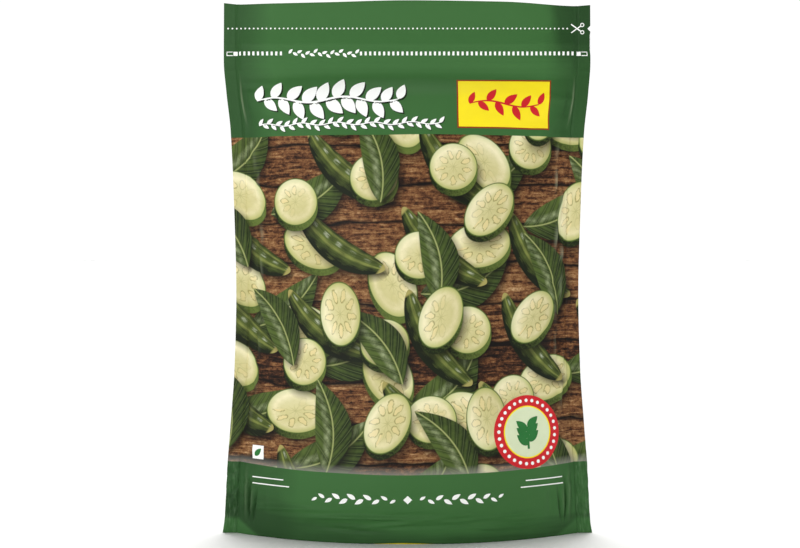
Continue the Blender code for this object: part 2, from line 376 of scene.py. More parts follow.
@dataclass(frozen=True)
class Crease:
    """A fold line in the film, in film millimetres: a ridge if its height is positive, and else a valley.

    It fades to nothing at its end, and also at its start unless it is rooted there.
    """

    start: Point
    end: Point
    width: float
    height: float
    rooted: bool = False
    bow: float = 0.0
    clouded: float = 0.0

    def clouding(self, u: Array, v: Array) -> Array:
        """How far the fold has whitened the film along its ridge, from 0 to 1: partly stress whitening,
        partly a painted highlight.
        """
        return self.clouded * np.clip(self.relief(u, v) / self.height, 0.0, 1.0) ** 1.5

    def relief(self, u: Array, v: Array) -> Array:
        """Height of the film over its smooth shape, in millimetres.

        Args:
            u: place along the film, in millimetres.
            v: height, in millimetres.

        Returns:
            The fold's height at each place.
        """
        run = np.array(self.end) - np.array(self.start)
        length = float(np.hypot(*run))
        along = ((u - self.start[0]) * run[0] + (v - self.start[1]) * run[1]) / length**2
        across = ((v - self.start[1]) * run[0] - (u - self.start[0]) * run[1]) / length
        across = across - self.bow * (1 - (2 * along - 1) ** 2)
        inside = np.clip(along, 0.0, 1.0)
        fade = np.cos(0.5 * math.pi * inside) ** 1.5 if self.rooted else np.sin(math.pi * inside) ** 1.3
        past = np.where(along < 0, along * length, np.maximum(along - 1, 0) * length)
        fade = np.where(self.rooted & (along < 0), np.exp(-((past / self.width) ** 2)), fade)
        share = (across / self.width) ** 2
        return self.height * fade * (1 - 0.9 * share) * np.exp(-share)


@dataclass
class Creases:
    """The creases of one panel: those that the photograph shows, and the small puckers along the seals."""

    side: Side
    shape: PouchShape
    seed: int = 5
    lines: list[Crease] = field(default_factory=list)

    def __post_init__(self) -> None:
        self.draw = random.Random(self.seed + self.side.value)
        self.pick = self.draw.uniform
        for folds in (self.seal_puckers, self.shoulder_folds, self.skirt_folds, self.skirt_ripples,
                      self.upper_gathers, self.side_gathers):
            self.lines += folds()

    def seal_puckers(self) -> Iterable[Crease]:
        """Short folds that the side seals gather, across them and fading towards the middle.

        Returns:
            The folds.
        """
        for hand in (-1, 1):
            v = 30.0
            while v < 246:
                reach = self.pick(9, 34)
                drop = self.pick(-0.42, 0.34) * reach
                root = hand * self.pick(90.5, 93.5)
                height = self.pick(-0.80, 0.70)
                tip, width = (root - hand * reach, v + drop), self.pick(1.7, 3.6)
                yield Crease((root, v), tip, width, height, True)
                v += self.pick(6.5, 15.0)

    def shoulder_folds(self) -> Iterable[Crease]:
        """Long soft folds from the zip's ends down into the bulge.

        Returns:
            The folds.
        """
        for hand in (-1, 1):
            for spread, reach, height in ((0.30, 62, -0.9), (0.62, 46, 0.75), (1.0, 30, -0.6)):
                start = (hand * 90.0, 247.0 - 12 * spread)
                end = (hand * (90.0 - reach * spread), 247.0 - 10 * spread - reach * (1.15 - spread * 0.6))
                yield Crease(start, end, 5.5 + 2 * (1 - spread), height, False, hand * 3.0)

    def skirt_folds(self) -> Iterable[Crease]:
        """Upright folds at both ends of the base, where the gusset turns up into the side seals.

        Returns:
            The folds.
        """
        for hand in (-1, 1):
            yield Crease((hand * 86.6, 33.0), (hand * 84.4, 4.5), 0.8, -2.3, False, hand * 0.6)
            yield Crease((hand * 81.4, 29.0), (hand * 83.6, 4.5), 0.8, -1.9, False, hand * -0.5)
            yield Crease((hand * 84.3, 30.0), (hand * 84.1, 8.0), 1.1, 0.9, clouded=0.05)
            yield Crease((hand * 88.4, 42.0), (hand * 87.2, 4.0), 1.7, 1.1, False, hand * 0.4, 0.06)
            yield Crease((hand * 77.4, 30.0), (hand * 75.2, 9.0), 2.8, -0.75)

    def skirt_ripples(self) -> Iterable[Crease]:
        """Flat wavy ripples just over the base seal.

        Returns:
            The ripples.
        """
        for _ in range(22):
            middle = self.pick(-72, 72)
            half = self.pick(12, 30)
            v = self.pick(7.5, 15.5)
            tip = self.pick(-1.8, 1.8)
            height = self.draw.choice((-1, 1)) * self.pick(0.45, 1.05)
            width = self.pick(0.8, 1.7)
            yield Crease((middle - half, v - tip), (middle + half, v + tip), width, height, False, tip)

    def upper_gathers(self) -> Iterable[Crease]:
        """A thin bowed ridge beside each side seal, from under the zip down to where the film swells."""
        for hand in (-1, 1):
            # The thin ridges are whitened, partly as a painted highlight
            yield Crease((hand * 91.4, 250.0), (hand * 90.2, 219.0), 0.75, 0.75, False, hand * 1.0, 0.24)
            yield Crease((hand * 89.0, 246.0), (hand * 86.8, 222.0), 1.4, -0.6, False, hand * 1.2)

    def side_gathers(self) -> Iterable[Crease]:
        """Short upright folds a little inside the side seals, sharper at the right hand of whoever looks.

        Returns:
            The folds, each with a valley beside it.
        """
        for hand, strength in ((-1, 0.55), (1, 1.0)):
            v = 214.0
            while v > 70:
                u, drop = self.pick(83.5, 90.5), self.pick(10, 24)
                slant = self.pick(-0.5, 2.8)
                height, width = strength * self.pick(0.6, 1.1), self.pick(1.1, 2.1)
                # Whitening of the fold's ridge, partly a painted highlight
                clouded = 0.26 * strength * self.pick(0.4, 1.0) * (0.4 if v < 130 else 1.0)
                top, foot = (hand * u, v), (hand * (u - slant), v - drop)
                yield Crease(top, foot, width, height, False, hand * self.pick(-0.7, 0.7), clouded)
                beside = hand * width * 1.7
                yield Crease((top[0] + beside, v - 1), (foot[0] + beside, v - drop - 1), width, -height)
                v -= self.pick(11, 21)

    def swaying(self, u: Array, v: Array) -> Array:
        """The broad unevenness of a film pushed out by loose pieces, in millimetres.

        Args:
            u: place along the film, in millimetres.
            v: height, in millimetres.

        Returns:
            The unevenness at each place.
        """
        total = np.zeros_like(u)
        for _ in range(14):
            turn = self.pick(0, math.pi)
            wave = self.pick(26, 62)
            phase = self.pick(0, TURN)
            total += np.sin(TURN * (u * math.cos(turn) + v * math.sin(turn)) / wave + phase)
        return 0.085 * total

    def zip_tracks(self, v: Array) -> Array:
        """The faint ridges of the zip's two tapes and its rib, in millimetres."""
        zip_v = self.shape.zip_z / MM
        ridges = ((-2.6, 0.7, 0.16), (-9.2, 0.8, 0.12), (0.2, 1.0, 0.20), (4.9, 0.8, 0.10))
        return sum(height * np.exp(-(((v - zip_v - at) / width) ** 2)) for at, width, height in ridges)

    def clouding(self, u: Array, v: Array) -> Array:
        """How far the folds have whitened the film along their ridges, from 0 to 1: partly stress whitening,
        partly a painted highlight.
        """
        return np.clip(sum(line.clouding(u, v) for line in self.lines if line.clouded), 0.0, 1.0)

    def relief(self, u: Array, v: Array, share: Array) -> Array:
        """Height of the film over its smooth shape, in metres, out of the pouch.

        It never goes so deep that the film would touch the one behind it.

        Args:
            u: place along the film, in millimetres.
            v: height, in millimetres.
            share: place across between the side seals, from -1 to 1.

        Returns:
            The relief at each place.
        """
        room = 0.85 * self.shape.inner(share, v * MM) / MM - 0.1
        loose = ease(1 - np.abs(share), -0.004, 0.035)
        filled = ease(-v, -250, -212) * ease(v, 10, 30)
        folds = sum(line.relief(u, v) for line in self.lines) * loose * ease(v, 3.5, 8.0)
        out = (np.abs(share) - 1) * np.where(np.abs(share) > 1, self.shape.side_seal / MM, 93)
        seal_line = 0.16 * np.exp(-(((out + 0.9) / 0.5) ** 2)) - 0.26 * np.exp(-((out / 0.42) ** 2))
        seal_line = seal_line + 0.10 * np.exp(-(((out - 0.95) / 0.45) ** 2))
        corner = 0.22 * ease(SEAL_CORNER - v - np.maximum(93 - np.abs(u), 0) * SEAL_SLANT, -1.0, 2.0)
        loose_film = np.maximum(folds + self.swaying(u, v) * filled * loose, -np.maximum(room, 0.0))
        return (loose_film + self.zip_tracks(v) + seal_line + corner) * MM


def quads(index: Array) -> Array:
    """Gives the faces between the rows and columns of a grid of point numbers."""
    return np.stack([index[:-1, :-1], index[:-1, 1:], index[1:, 1:], index[1:, :-1]], axis=2).reshape(-1, 4)


def turn_outward(mesh: Mesh, merge: float = 0.0) -> Mesh:
    """Turns the faces of a closed mesh outward, and first merges points closer together than a distance.

    Args:
        mesh: the mesh, which is changed.
        merge: that distance, or 0 to merge none.

    Returns:
        The same mesh.
    """
    shape = bmesh.new()
    shape.from_mesh(mesh)
    if merge:
        bmesh.ops.remove_doubles(shape, verts=shape.verts, dist=merge)
    bmesh.ops.recalc_face_normals(shape, faces=shape.faces)
    shape.to_mesh(mesh)
    shape.free()
    return mesh


@dataclass
class Sheet:
    """A film: a closed shell over a grid of points on its outer face."""

    points: Array
    uv: Array
    thickness: Array | float = 0.00025
    flip: bool = False
    clouded: Array | None = None
    outward: Array | None = None

    def normals(self) -> Array:
        """Unit normals of the outer face at each point."""
        along, up = np.gradient(self.points, axis=1), np.gradient(self.points, axis=0)
        normal = np.cross(along, up) * (-1 if self.flip else 1)
        return normal / np.linalg.norm(normal, axis=2, keepdims=True)

    def mesh(self, name: str, closed: bool = True) -> Mesh:
        """Makes the film's mesh with its print's UV map.

        Args:
            name: the mesh's name.
            closed: whether it has an inner face and a rim too.

        Returns:
            The mesh.
        """
        rows, columns = self.points.shape[:2]
        index = np.arange(rows * columns).reshape(rows, columns)
        outer = quads(index)[:, ::-1] if self.flip else quads(index)
        points, faces = self.points.reshape(-1, 3), outer
        if closed:
            outward = self.normals() if self.outward is None else self.outward
            inside = self.points - outward * self.thickness
            inside[..., 2] = np.maximum(inside[..., 2], np.minimum(self.points[..., 2], 0.0))
            count = rows * columns
            points = np.concatenate([points, inside.reshape(-1, 3)])
            edge = np.concatenate([index[0, :], index[1:, -1], index[-1, -2::-1], index[-2:0:-1, 0]])
            after = np.roll(edge, -1)
            rim = np.stack([after, edge, edge + count, after + count], axis=1)
            rim = rim[:, ::-1] if self.flip else rim
            faces = np.concatenate([outer, outer[:, ::-1] + count, rim])
        mesh = bpy.data.meshes.new(name)
        mesh.from_pydata(points.tolist(), [], faces.tolist())
        flat = self.uv.reshape(-1, 2)
        flat = np.concatenate([flat, flat]) if closed else flat
        layer = mesh.uv_layers.new(name=FILM_MAP)
        layer.data.foreach_set("uv", flat[faces.reshape(-1)].astype(np.float32).reshape(-1))
        inner = np.arange(len(points)) >= rows * columns
        clouded = np.zeros(len(points))
        if self.clouded is not None:
            clouded[:rows * columns] = self.clouded.reshape(-1)
        for attribute, values in ((INSIDE, inner), (WHITENING_HIGHLIGHT, clouded)):
            data = mesh.attributes.new(attribute, "FLOAT", "POINT").data
            data.foreach_set("value", values.astype(np.float32))
        mesh.shade_smooth()
        return mesh


def add_piece(name: str, mesh: Mesh, material: Material | None) -> Object:
    """Puts a mesh in the scene as an object at the origin.

    Args:
        name: the piece's name.
        mesh: its mesh, with its place in it.
        material: its finish, or None for a helper that is removed again.

    Returns:
        The new object.
    """
    if material:
        mesh.materials.clear()
        mesh.materials.append(material)
    piece = bpy.data.objects.new(name, mesh)
    bpy.context.scene.collection.objects.link(piece)
    return piece


def dress(piece: Object, slot: str, nodes: tuple[str, ...] = ()) -> None:
    """Makes a finished piece ride on the pouch and stand for CAD nodes, which it hides.

    Args:
        piece: the finished piece.
        slot: the record's material slot; it is not used.
        nodes: the CAD nodes that it replaces.
    """
    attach(piece, BODY)
    if nodes:
        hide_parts(*nodes)
    log.info("%s: %d faces", piece.name, len(piece.data.polygons))


@dataclass
class FilmPanel:
    """A front or back panel of the pouch."""

    side: Side
    shape: PouchShape
    row_steps: Stations = (
        (0.0, 0.0007), (0.030, 0.0009), (0.060, 0.0016), (0.225, 0.0016), (0.250, 0.0008), (0.288, 0.0008),
    )
    column_steps: Stations = ((0.0, 2.0), (70.0, 1.8), (80.5, 0.55), (87.5, 0.45), (91.0, 0.6))
    seal_line_mm: tuple[float, ...] = (-1.5, -1.0, -0.65, -0.35, -0.1)
    seal_mm: tuple[float, ...] = (0.15, 0.5, 0.9, 1.5, 2.2, 2.9, 3.6, 4.3, 5.0, 5.7, 6.4, 7.0)
    flat_half: float = 93.0
    film: float = 0.00025
    sealed_film: float = 0.00050
    top_seal: float = 0.2765
    sheet: Sheet = field(init=False)

    def __post_init__(self) -> None:
        self.creases = Creases(self.side, self.shape)
        self.sheet = self.lay_out()

    def spread(self, steps: Stations, end: float) -> Array:
        """Places from 0 to an end, whose steps follow (place, step) pairs.

        Args:
            steps: the pairs, in rising order of place.
            end: the last place.

        Returns:
            The places.
        """
        places, sizes = (np.array(part) for part in zip(*steps))
        levels = [0.0]
        while levels[-1] < end:
            levels.append(levels[-1] + float(np.interp(levels[-1], places, sizes)))
        return np.array(levels) * end / levels[-1]

    def heights(self) -> Array:
        """Heights of the rows of points, with more of them at the tear notch and the base seal."""
        even = self.spread(self.row_steps, self.shape.height)
        notch = self.shape.notch_z + self.shape.notch_half * np.linspace(-1.0, 1.0, 7)
        kept = even[np.abs(even - self.shape.notch_z) > self.shape.notch_half * 1.15]
        return np.unique(np.concatenate([kept, notch]))

    def shares(self) -> Array:
        """Places of the columns of points across, closest together at the folds and the seals.

        Returns:
            The places, as shares across.
        """
        half = self.spread(self.column_steps, self.flat_half + self.seal_line_mm[0] - 0.5) / self.flat_half
        line = 1 + np.array(self.seal_line_mm) / self.flat_half
        seal = 1 + np.array(self.seal_mm) * MM / self.shape.side_seal
        edge = np.concatenate([half[1:], line, seal])
        return np.concatenate([-edge[::-1], [0.0], edge])

    def smooth(self, share: Array, z: Array) -> Array:
        """Outer face without its creases.

        Args:
            share: place across, from -1 to 1 between the seals and up to -2 and 2 at the outer edges.
            z: height of each point.

        Returns:
            The points, with x, y and z last.
        """
        edge = self.shape.half_width(z)
        inside = np.clip(share, -1, 1)
        outside = share - inside
        x = inside * (edge - self.shape.side_seal) + outside * self.shape.side_seal
        depth = self.shape.inner(inside, z) + self.shape.film
        return np.stack([x, self.side.value * depth, z], axis=-1)

    def lay_out(self) -> Sheet:
        """Works out the film's outer face and its print's map.

        Returns:
            The film.
        """
        share, z = np.meshgrid(self.shares(), self.heights())
        points = self.smooth(share, z)
        u = self.film_places(points, share)
        v = z / MM
        normal = Sheet(points, points[..., :2], flip=self.side is Side.BACK).normals()
        relief = self.creases.relief(u, v, share)
        points = points + normal * relief[..., None]
        points[..., 1] += self.shape.bend(points[..., 0], z)
        self.shape_edges(points, share, z)
        uv = np.stack([-self.side.value * u / FILM_SPAN + 0.5, v / FILM_SPAN], axis=-1)
        sealed = np.maximum(ease(np.abs(share), 1.04, 1.16), ease(z, self.top_seal, self.top_seal + 0.003))
        most = self.shape.film + relief + np.minimum(self.shape.inner(share, z) - 0.00004, 0.00026)
        thickness = self.film + (np.minimum(self.sealed_film, most) - self.film) * sealed
        # Whitening of the fold ridges, partly a painted highlight
        clouded = self.creases.clouding(u, v)
        return Sheet(points, uv, thickness[..., None], self.side is Side.BACK, clouded, normal)

    def film_places(self, points: Array, share: Array) -> Array:
        """Finds places along the film from the middle line. They are the same at each edge on every row.

        Args:
            points: the film's outer face without its creases.
            share: each point's place across.

        Returns:
            The places, in millimetres.
        """
        steps = np.linalg.norm(np.diff(points, axis=1), axis=2)
        run = np.concatenate([np.zeros((len(points), 1)), np.cumsum(steps, axis=1)], axis=1)
        run = run - run[:, share.shape[1] // 2][:, None]
        first = len(self.seal_mm)
        last = share.shape[1] - 1 - first
        half = (run[:, last:last + 1] - run[:, first:first + 1]) / 2
        seal = self.shape.side_seal / MM
        return np.where(
            np.abs(share) <= 1, run / half * self.flat_half,
            np.sign(share) * (self.flat_half + (np.abs(share) - 1) * seal),
        )

    def shape_edges(self, points: Array, share: Array, z: Array) -> None:
        """Cuts the tear notch, waves the top edge and trims the front where the other films show past it.

        Args:
            points: the film's outer face, which is changed.
            share: each point's place across.
            z: each point's height before that.
        """
        shape = self.shape
        x = points[..., 0]
        notch = shape.notch_depth * np.clip(1 - np.abs(z - shape.notch_z) / shape.notch_half, 0, 1)
        points[..., 0] = np.minimum(x, shape.half_width(z) - notch)
        points[..., 2] += through(shape.top_wave, x) * ease(z, shape.height - 0.013, shape.height)
        points[..., 2] += shape.rise(x, z)
        flare = 0.0008 * np.clip(1 - z / 0.006, 0, 1) * (np.abs(share) > 1.5)
        points[..., 0] += np.sign(x) * flare
        if self.side is Side.FRONT:
            seen = ease(z, 0.2595, 0.2630) * (1 - ease(z, 0.2705, 0.2725)) * (share > 1.5)
            points[..., 0] -= 0.0004 * seen
            lift = 0.00075 * np.exp(-(((x + 0.002) / 0.014) ** 2))
            points[..., 2] += lift * (1 - ease(z, 0.0, 0.004))

    def build(self, finish: Material) -> Object:
        """Makes the panel and dresses it."""
        name = f"{self.side.name.lower()}_film"
        panel = add_piece(name, self.sheet.mesh(name), finish)
        dress(panel, "printed_film", (f"{self.side.name.lower()}_panel",))
        return panel

    def guide(self) -> Object:
        """Makes the bare outer face, which the print is wrapped onto. It is removed once that is done."""
        return add_piece(f"{self.side.name.lower()}_guide", self.sheet.mesh("guide", closed=False), None)


@dataclass
class BaseGusset:
    """The film folded up between the panels, which the pouch stands on."""

    shape: PouchShape
    columns: int = 120
    steps: int = 26
    seed: int = 9
    clear: float = 0.0011
    clear_of_folds: float = 0.0028

    def row(self, share: Array, step: float) -> tuple[Array, Array]:
        """Finds half the depth and the height of one row of points.

        Args:
            share: each point's place across.
            step: the row, from -1 to 0 over the base seal and on to 1 at the middle of the fold.

        Returns:
            The half depths and the heights.
        """
        shape = self.shape
        inside = np.minimum(np.abs(share), 1.0)
        z = np.full_like(share, shape.base_seal * (1 + min(step, 0.0)))
        depth = shape.inner(share, z) - shape.gap
        if step <= 0:
            return depth - self.tuck(depth, z, inside), z
        ridge = shape.gusset_sag + (shape.gusset_height - shape.gusset_sag) * inside**5
        power = 3.0 - 2.0 * inside**4
        depth = depth * (1 - step ** (1 + 5 * inside**4))
        z = shape.base_seal + (ridge - shape.base_seal) * (1 - (1 - step) ** power)
        return depth - self.tuck(depth, z, inside), z

    def tuck(self, depth: Array, z: Array, inside: Array) -> Array:
        """How far the gusset draws in over its seal: past the ripples, and further at the upright folds."""
        clear = self.clear + (self.clear_of_folds - self.clear) * ease(inside, 0.74, 0.84)
        return np.minimum(clear * ease(z, 0.003, 0.0085), 0.8 * depth)

    def pucker(self, x: Array, y: Array, step: float) -> Array:
        """Small folds of the loose film, in metres up.

        Args:
            x: place across, in metres.
            y: place in depth, in metres.
            step: the row, as for row.

        Returns:
            The folds' height at each place.
        """
        draw = random.Random(self.seed)
        total = np.zeros_like(x)
        for _ in range(9):
            wave, turn = draw.uniform(0.012, 0.034), draw.uniform(-0.5, 0.5)
            place = x * math.cos(turn) + y * math.sin(turn)
            total += np.sin(TURN * place / wave + draw.uniform(0, 6.28))
        return 0.00012 * total * ease(np.array(step), 0.1, 0.6) * ease(0.085 - np.abs(x), 0.0, 0.03)

    def build(self, finish: Material) -> Object:
        """Makes the gusset and dresses it.

        Args:
            finish: its material.

        Returns:
            The gusset.
        """
        even = np.linspace(-1, 1, self.columns)
        inside = 0.55 * even + 0.45 * np.sin(0.5 * math.pi * even)
        seal = np.linspace(1.2, 2.0, 5)
        shares = np.concatenate([-seal[::-1], inside, seal])
        half = [-1.0, -0.75, -0.5, -0.25, 0.0, *np.linspace(0.1, 1, self.steps)]
        rows = []
        for facing, step in [(-1, s) for s in half] + [(1, s) for s in reversed(half[:-1])]:
            depth, z = self.row(shares, step)
            edge = self.shape.half_width(z)
            clipped = np.clip(shares, -1, 1)
            x = clipped * (edge - self.shape.side_seal) + (shares - clipped) * (self.shape.side_seal - 0.0003)
            y = facing * depth + self.shape.bend(x, z)
            rows.append(np.stack([x, y, z + self.pucker(x, y, max(step, 0.0))], axis=-1))
        points = np.array(rows)
        uv = points[..., :2] / MM / FILM_SPAN + 0.5
        piece = add_piece("base_film", Sheet(points, uv).mesh("base_film"), finish)
        dress(piece, "gusset_film", ("base_gusset",))
        return piece


@dataclass
class PressZip:
    """The press-to-close zip: a rib strip on the front panel and a groove strip on the back one."""

    shape: PouchShape
    tape: float = 0.00035
    tape_half: float = 0.005
    columns: int = 90

    def rib(self) -> list[Point]:
        """The front strip's (y, z) outline: a tape with an arrow-headed rib.

        Returns:
            Half of the outline, up to its middle line.
        """
        seat = -self.shape.zip_half_room + self.shape.gap
        face, half = seat + self.tape, self.tape_half
        return [
            (seat, -half), (seat + 0.6 * self.tape, -half), (face, -half + 0.0004), (face, -0.0005),
            (face + 0.0001, -0.00028), (face + 0.0003, -0.00022), (-0.0002, -0.00022), (-0.0001, -0.0003),
            (-0.00008, -0.00058), (0.0000, -0.0006), (0.00035, -0.00042), (0.00058, -0.00018),
        ]

    def groove(self) -> list[Point]:
        """The back strip's (y, z) outline: a tape with two hooked jaws that hold the rib.

        Returns:
            Half of the outline, up to its middle line.
        """
        seat = self.shape.zip_half_room - self.shape.gap
        face, half = seat - self.tape, self.tape_half
        return [
            (seat, half), (seat - 0.6 * self.tape, half), (face, half - 0.0004), (face, 0.0016),
            (face - 0.0002, 0.0014), (-0.00055, 0.0013), (-0.00066, 0.0012), (-0.00066, 0.00066),
            (-0.0006, 0.00059), (-0.00045, 0.0006), (-0.00038, 0.00095), (face - 0.0002, 0.00095),
            (face, 0.0008),
        ]

    def build(self, finish: Material) -> None:
        """Makes both strips and dresses them.

        Args:
            finish: their material.
        """
        for name, half in (("zip_rib", self.rib()), ("zip_groove", self.groove())):
            outline = half + [(y, -z) for y, z in reversed(half)]
            between = float(self.shape.half_width(self.shape.zip_z)) - self.shape.side_seal
            along = np.linspace(-1, 1, self.columns) * between * self.shape.zip_end
            level = self.shape.zip_z
            rings = [[(x, y + float(self.shape.lean(x, level)), level + float(self.shape.rise(x, level)) + z)
                      for y, z in outline] for x in along]
            piece = add_piece(name, loft(name, rings), finish)
            piece.data.shade_smooth()
            piece.data.set_sharp_from_angle(angle=math.radians(40))
            dress(piece, "zip_plastic", (f"{name}_strip",))


def loft(name: str, rings: list[list[tuple[float, float, float]]]) -> Mesh:
    """Makes a closed mesh through rings of points, capped at both ends.

    Args:
        name: the mesh's name.
        rings: the rings, which all have as many points.

    Returns:
        The mesh.
    """
    around = len(rings[0])
    points = [point for ring in rings for point in ring]
    faces = [tuple(range(around)), tuple(range(len(points) - 1, len(points) - around - 1, -1))]
    for first in range(0, len(points) - around, around):
        for step in range(around):
            here, after = first + step, first + (step + 1) % around
            faces.append((here, here + around, after + around, after))
    mesh = bpy.data.meshes.new(name)
    mesh.from_pydata(points, [], faces)
    return turn_outward(mesh)


@dataclass(frozen=True)
class GourdPlace:
    """Where a gourd lies and how large it is, read from its CAD solid."""

    middle: Array
    axes: Array
    length: float
    radius: float


@dataclass
class Gourds:
    """The frozen gourds inside: whole ones, and others trimmed at both ends and split lengthwise.

    Each stays where its CAD solid lies. Its skin gets low ribs and dents, and a cut face gets its seeds.
    """

    whole: bool
    lean: float = 0.88
    fullness: float = 0.78
    tip: float = 0.0016
    trim: float = 0.09
    rings: int = 34
    sides: int = 30
    across: int = 22
    shrink: float = 0.968
    clear: float = 0.0004
    ribs: int = 9
    seed: int = 17

    def profile(self, place: Array, radius: float) -> Array:
        """Radius along the gourd: fullest just before the middle, drawn out to points at the ends."""
        swell = np.sin(math.pi * np.clip(place, 0.0, 1.0) ** self.lean) ** self.fullness
        return self.tip + (radius - self.tip) * swell

    def locate(self, node: str) -> GourdPlace:
        """Finds the place of a CAD gourd from its solid: its long axis, its cut face and its girth.

        Args:
            node: the CAD node's name.

        Returns:
            The gourd's place.
        """
        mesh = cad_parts[node].data
        points = np.array([vertex.co for vertex in mesh.vertices])
        points = np.unique(points.round(7), axis=0)
        centre = points.mean(axis=0)
        along = np.linalg.svd(points - centre)[2][0]
        if self.whole:
            up = np.cross(along, (0.0, 1.0, 0.0))
        else:
            areas: dict[tuple[float, ...], float] = {}
            for face in mesh.polygons:
                key = tuple(round(value, 2) for value in face.normal)
                areas[key] = areas.get(key, 0.0) + face.area
            up = -np.array(max(areas, key=areas.get))
            along = along - up * (along @ up) / (up @ up)
        up = up / np.linalg.norm(up)
        along = along / np.linalg.norm(along)
        run, rise = (points - centre) @ along, (points - centre) @ up
        middle = centre + along * (run.min() + run.max()) / 2
        if not self.whole:
            middle = middle + up * rise.min()
        away = points - middle
        run = away @ along
        girth = np.linalg.norm(away - np.outer(run, along), axis=1)
        if run @ girth**2 > 0:
            along = -along
        length = np.ptp(run) / (1.0 if self.whole else 1 - 2 * self.trim)
        widest = float(self.profile(np.array(0.5), 1.0))
        axes = np.stack([along, np.cross(up, along), up])
        return GourdPlace(middle, axes, length, float(girth.max()) / widest)

    def skin(self, turn: Array, place: Array, draw: random.Random) -> Array:
        """How the skin swells and dents, as a share of the radius.

        Args:
            turn: the turn round the gourd, in radians.
            place: the share along it.
            draw: what draws its chances.

        Returns:
            The change at each point.
        """
        total = 0.010 * np.cos(self.ribs * turn + draw.uniform(0, 6.28)) - 0.012
        for _ in range(5):
            turns, waves = draw.choice((1, 2, 3)), draw.uniform(1.5, 5.0)
            total = total + 0.006 * np.sin(turns * turn + 6.28 * waves * place + draw.uniform(0, 6.28))
        return total * np.sin(math.pi * place)

    def seeds(self, run: Array, side: Array, radius: float) -> Array:
        """How far the seeds and the rind stand out of a cut face, in metres.

        Args:
            run: place along the gourd, in metres.
            side: place across the cut face, in metres.
            radius: the gourd's radius there.

        Returns:
            The height at each place.
        """
        pitch, row = 0.0062, 0.40 * radius
        near = (run / pitch + np.where(side > 0, 0.5, 0.0)) % 1 - 0.5
        seed = (near * pitch / 0.0019) ** 2 + ((np.abs(side) - row) / 0.0013) ** 2
        fits = ease(-np.abs(run), -0.019, -0.015)
        sunk = 0.0003 * ease(radius - np.abs(side), 0.0, 0.0016)
        return 0.00035 * np.clip(1 - seed, 0, 1) ** 0.5 * fits - sunk

    def build(self, node: str, number: int, finish: Material, slot: str) -> None:
        """Makes one gourd in the place of its CAD solid and dresses it.

        Args:
            node: the CAD node's name.
            number: the gourd's number, which seeds its chances.
            finish: its material.
            slot: the record's material slot.
        """
        spot = self.locate(node)
        draw = random.Random(self.seed + number)
        ends = (0.0, 1.0) if self.whole else (self.trim, 1 - self.trim)
        share = 0.5 - 0.5 * np.cos(np.linspace(0, math.pi, self.rings))
        places = ends[0] + (ends[1] - ends[0]) * share
        round_side = np.linspace(0, TURN, self.sides, endpoint=False) if self.whole \
            else np.linspace(0, math.pi, self.sides)
        phase = draw.random()
        rings, marks = [], []
        for place in places:
            radius = float(self.profile(place, spot.radius)) * self.shrink
            skin = self.skin(round_side, np.full_like(round_side, place), random.Random(phase))
            reach = radius * (1 + skin)
            run = (place - 0.5) * (spot.length - self.clear)
            y, z = reach * np.cos(round_side), reach * np.sin(round_side)
            angle, cut = round_side / TURN, np.zeros_like(round_side)
            if not self.whole:
                face = np.linspace(y[-1], y[0], self.across + 2)[1:-1]
                y, cut = np.concatenate([y, face]), np.concatenate([cut, np.ones_like(face)])
                z = np.concatenate([z, -self.seeds(np.full_like(face, run), face, radius)]) + 0.0002
                angle = np.concatenate([angle, 0.5 + 0.5 * face / spot.radius])
            local = np.stack([np.full_like(y, run), y, z], axis=1)
            rings.append([tuple(point) for point in spot.middle + local @ spot.axes])
            marks += [(a, place, c) for a, c in zip(angle, cut)]
        name = f"{node}_{'skin' if self.whole else 'piece'}"
        mesh = loft(name, rings)
        mesh.shade_smooth()
        mesh.set_sharp_from_angle(angle=math.radians(38))
        surface = mesh.attributes.new("surface", "FLOAT_VECTOR", "POINT")
        surface.data.foreach_set("vector", np.array(marks, dtype=np.float32).reshape(-1))
        dress(add_piece(name, mesh, finish), slot, (node,))


@dataclass(frozen=True)
class GourdFinish:
    """Frozen pointed gourd: waxy green skin with pale streaks, and cream flesh with seeds on a cut face.

    The attribute "surface" holds the turn round the gourd or across its cut face, the place along it, and 1
    on a cut.
    """

    name: str
    skin: str = "#41602A"
    streak: str = "#A6B678"
    flesh: str = "#E7E3AC"
    rim: str = "#A9BC66"
    seed: str = "#F3EBC4"
    frost: str = "#EEF3EE"

    def material(self) -> Material:
        """Makes the finish."""
        material, bench, shader = new_material(self.name)
        surface = bench.add("ShaderNodeAttribute", attribute_name="surface").outputs["Vector"]
        turn, place, cut = bench.add("ShaderNodeSeparateXYZ", (surface,)).outputs
        bench = bench.knowing(t=turn, p=place, c=cut)
        lines = bench.add("ShaderNodeTexNoise", {
            "Vector": ("cos(t * 6.2832) * 3.4", "sin(t * 6.2832) * 3.4", "p * 1.6"), "Scale": 2.0,
            "Detail": 3.0,
        })
        object_place = bench.add("ShaderNodeTexCoord").outputs["Object"]
        grain = bench.add("ShaderNodeTexNoise", {"Vector": object_place, "Scale": 900.0, "Detail": 4.0})
        bench = bench.knowing(n=lines, g=grain, s="abs(t - 0.5) * 2")
        skin = bench.stack(self.skin, ("clamp((n - 0.55) * 7)", self.streak))
        seed = bench.formula("1 - clamp(((fract(p * 10) - 0.5) / 0.3) ** 2 + ((s - 0.40) / 0.10) ** 2)")
        flesh = bench.knowing(d=seed).stack(
            self.flesh, ("clamp((s - 0.78) * 6)", self.rim), ("clamp(d * 3)", self.seed),
        )
        colour = bench.stack(
            skin, ("clamp((c - 0.5) * 9)", flesh), ("clamp((g - 0.52) * 5) * 0.45", self.frost),
        )
        bump = bench.add("ShaderNodeBump", {"Strength": 0.3, "Distance": 0.0002, "Height": grain})
        bench.feed(shader, {
            "Base Color": colour, "Normal": bump, "Roughness": 0.55, "Subsurface Weight": 0.15,
            "Subsurface Scale": 0.002,
        })
        return material


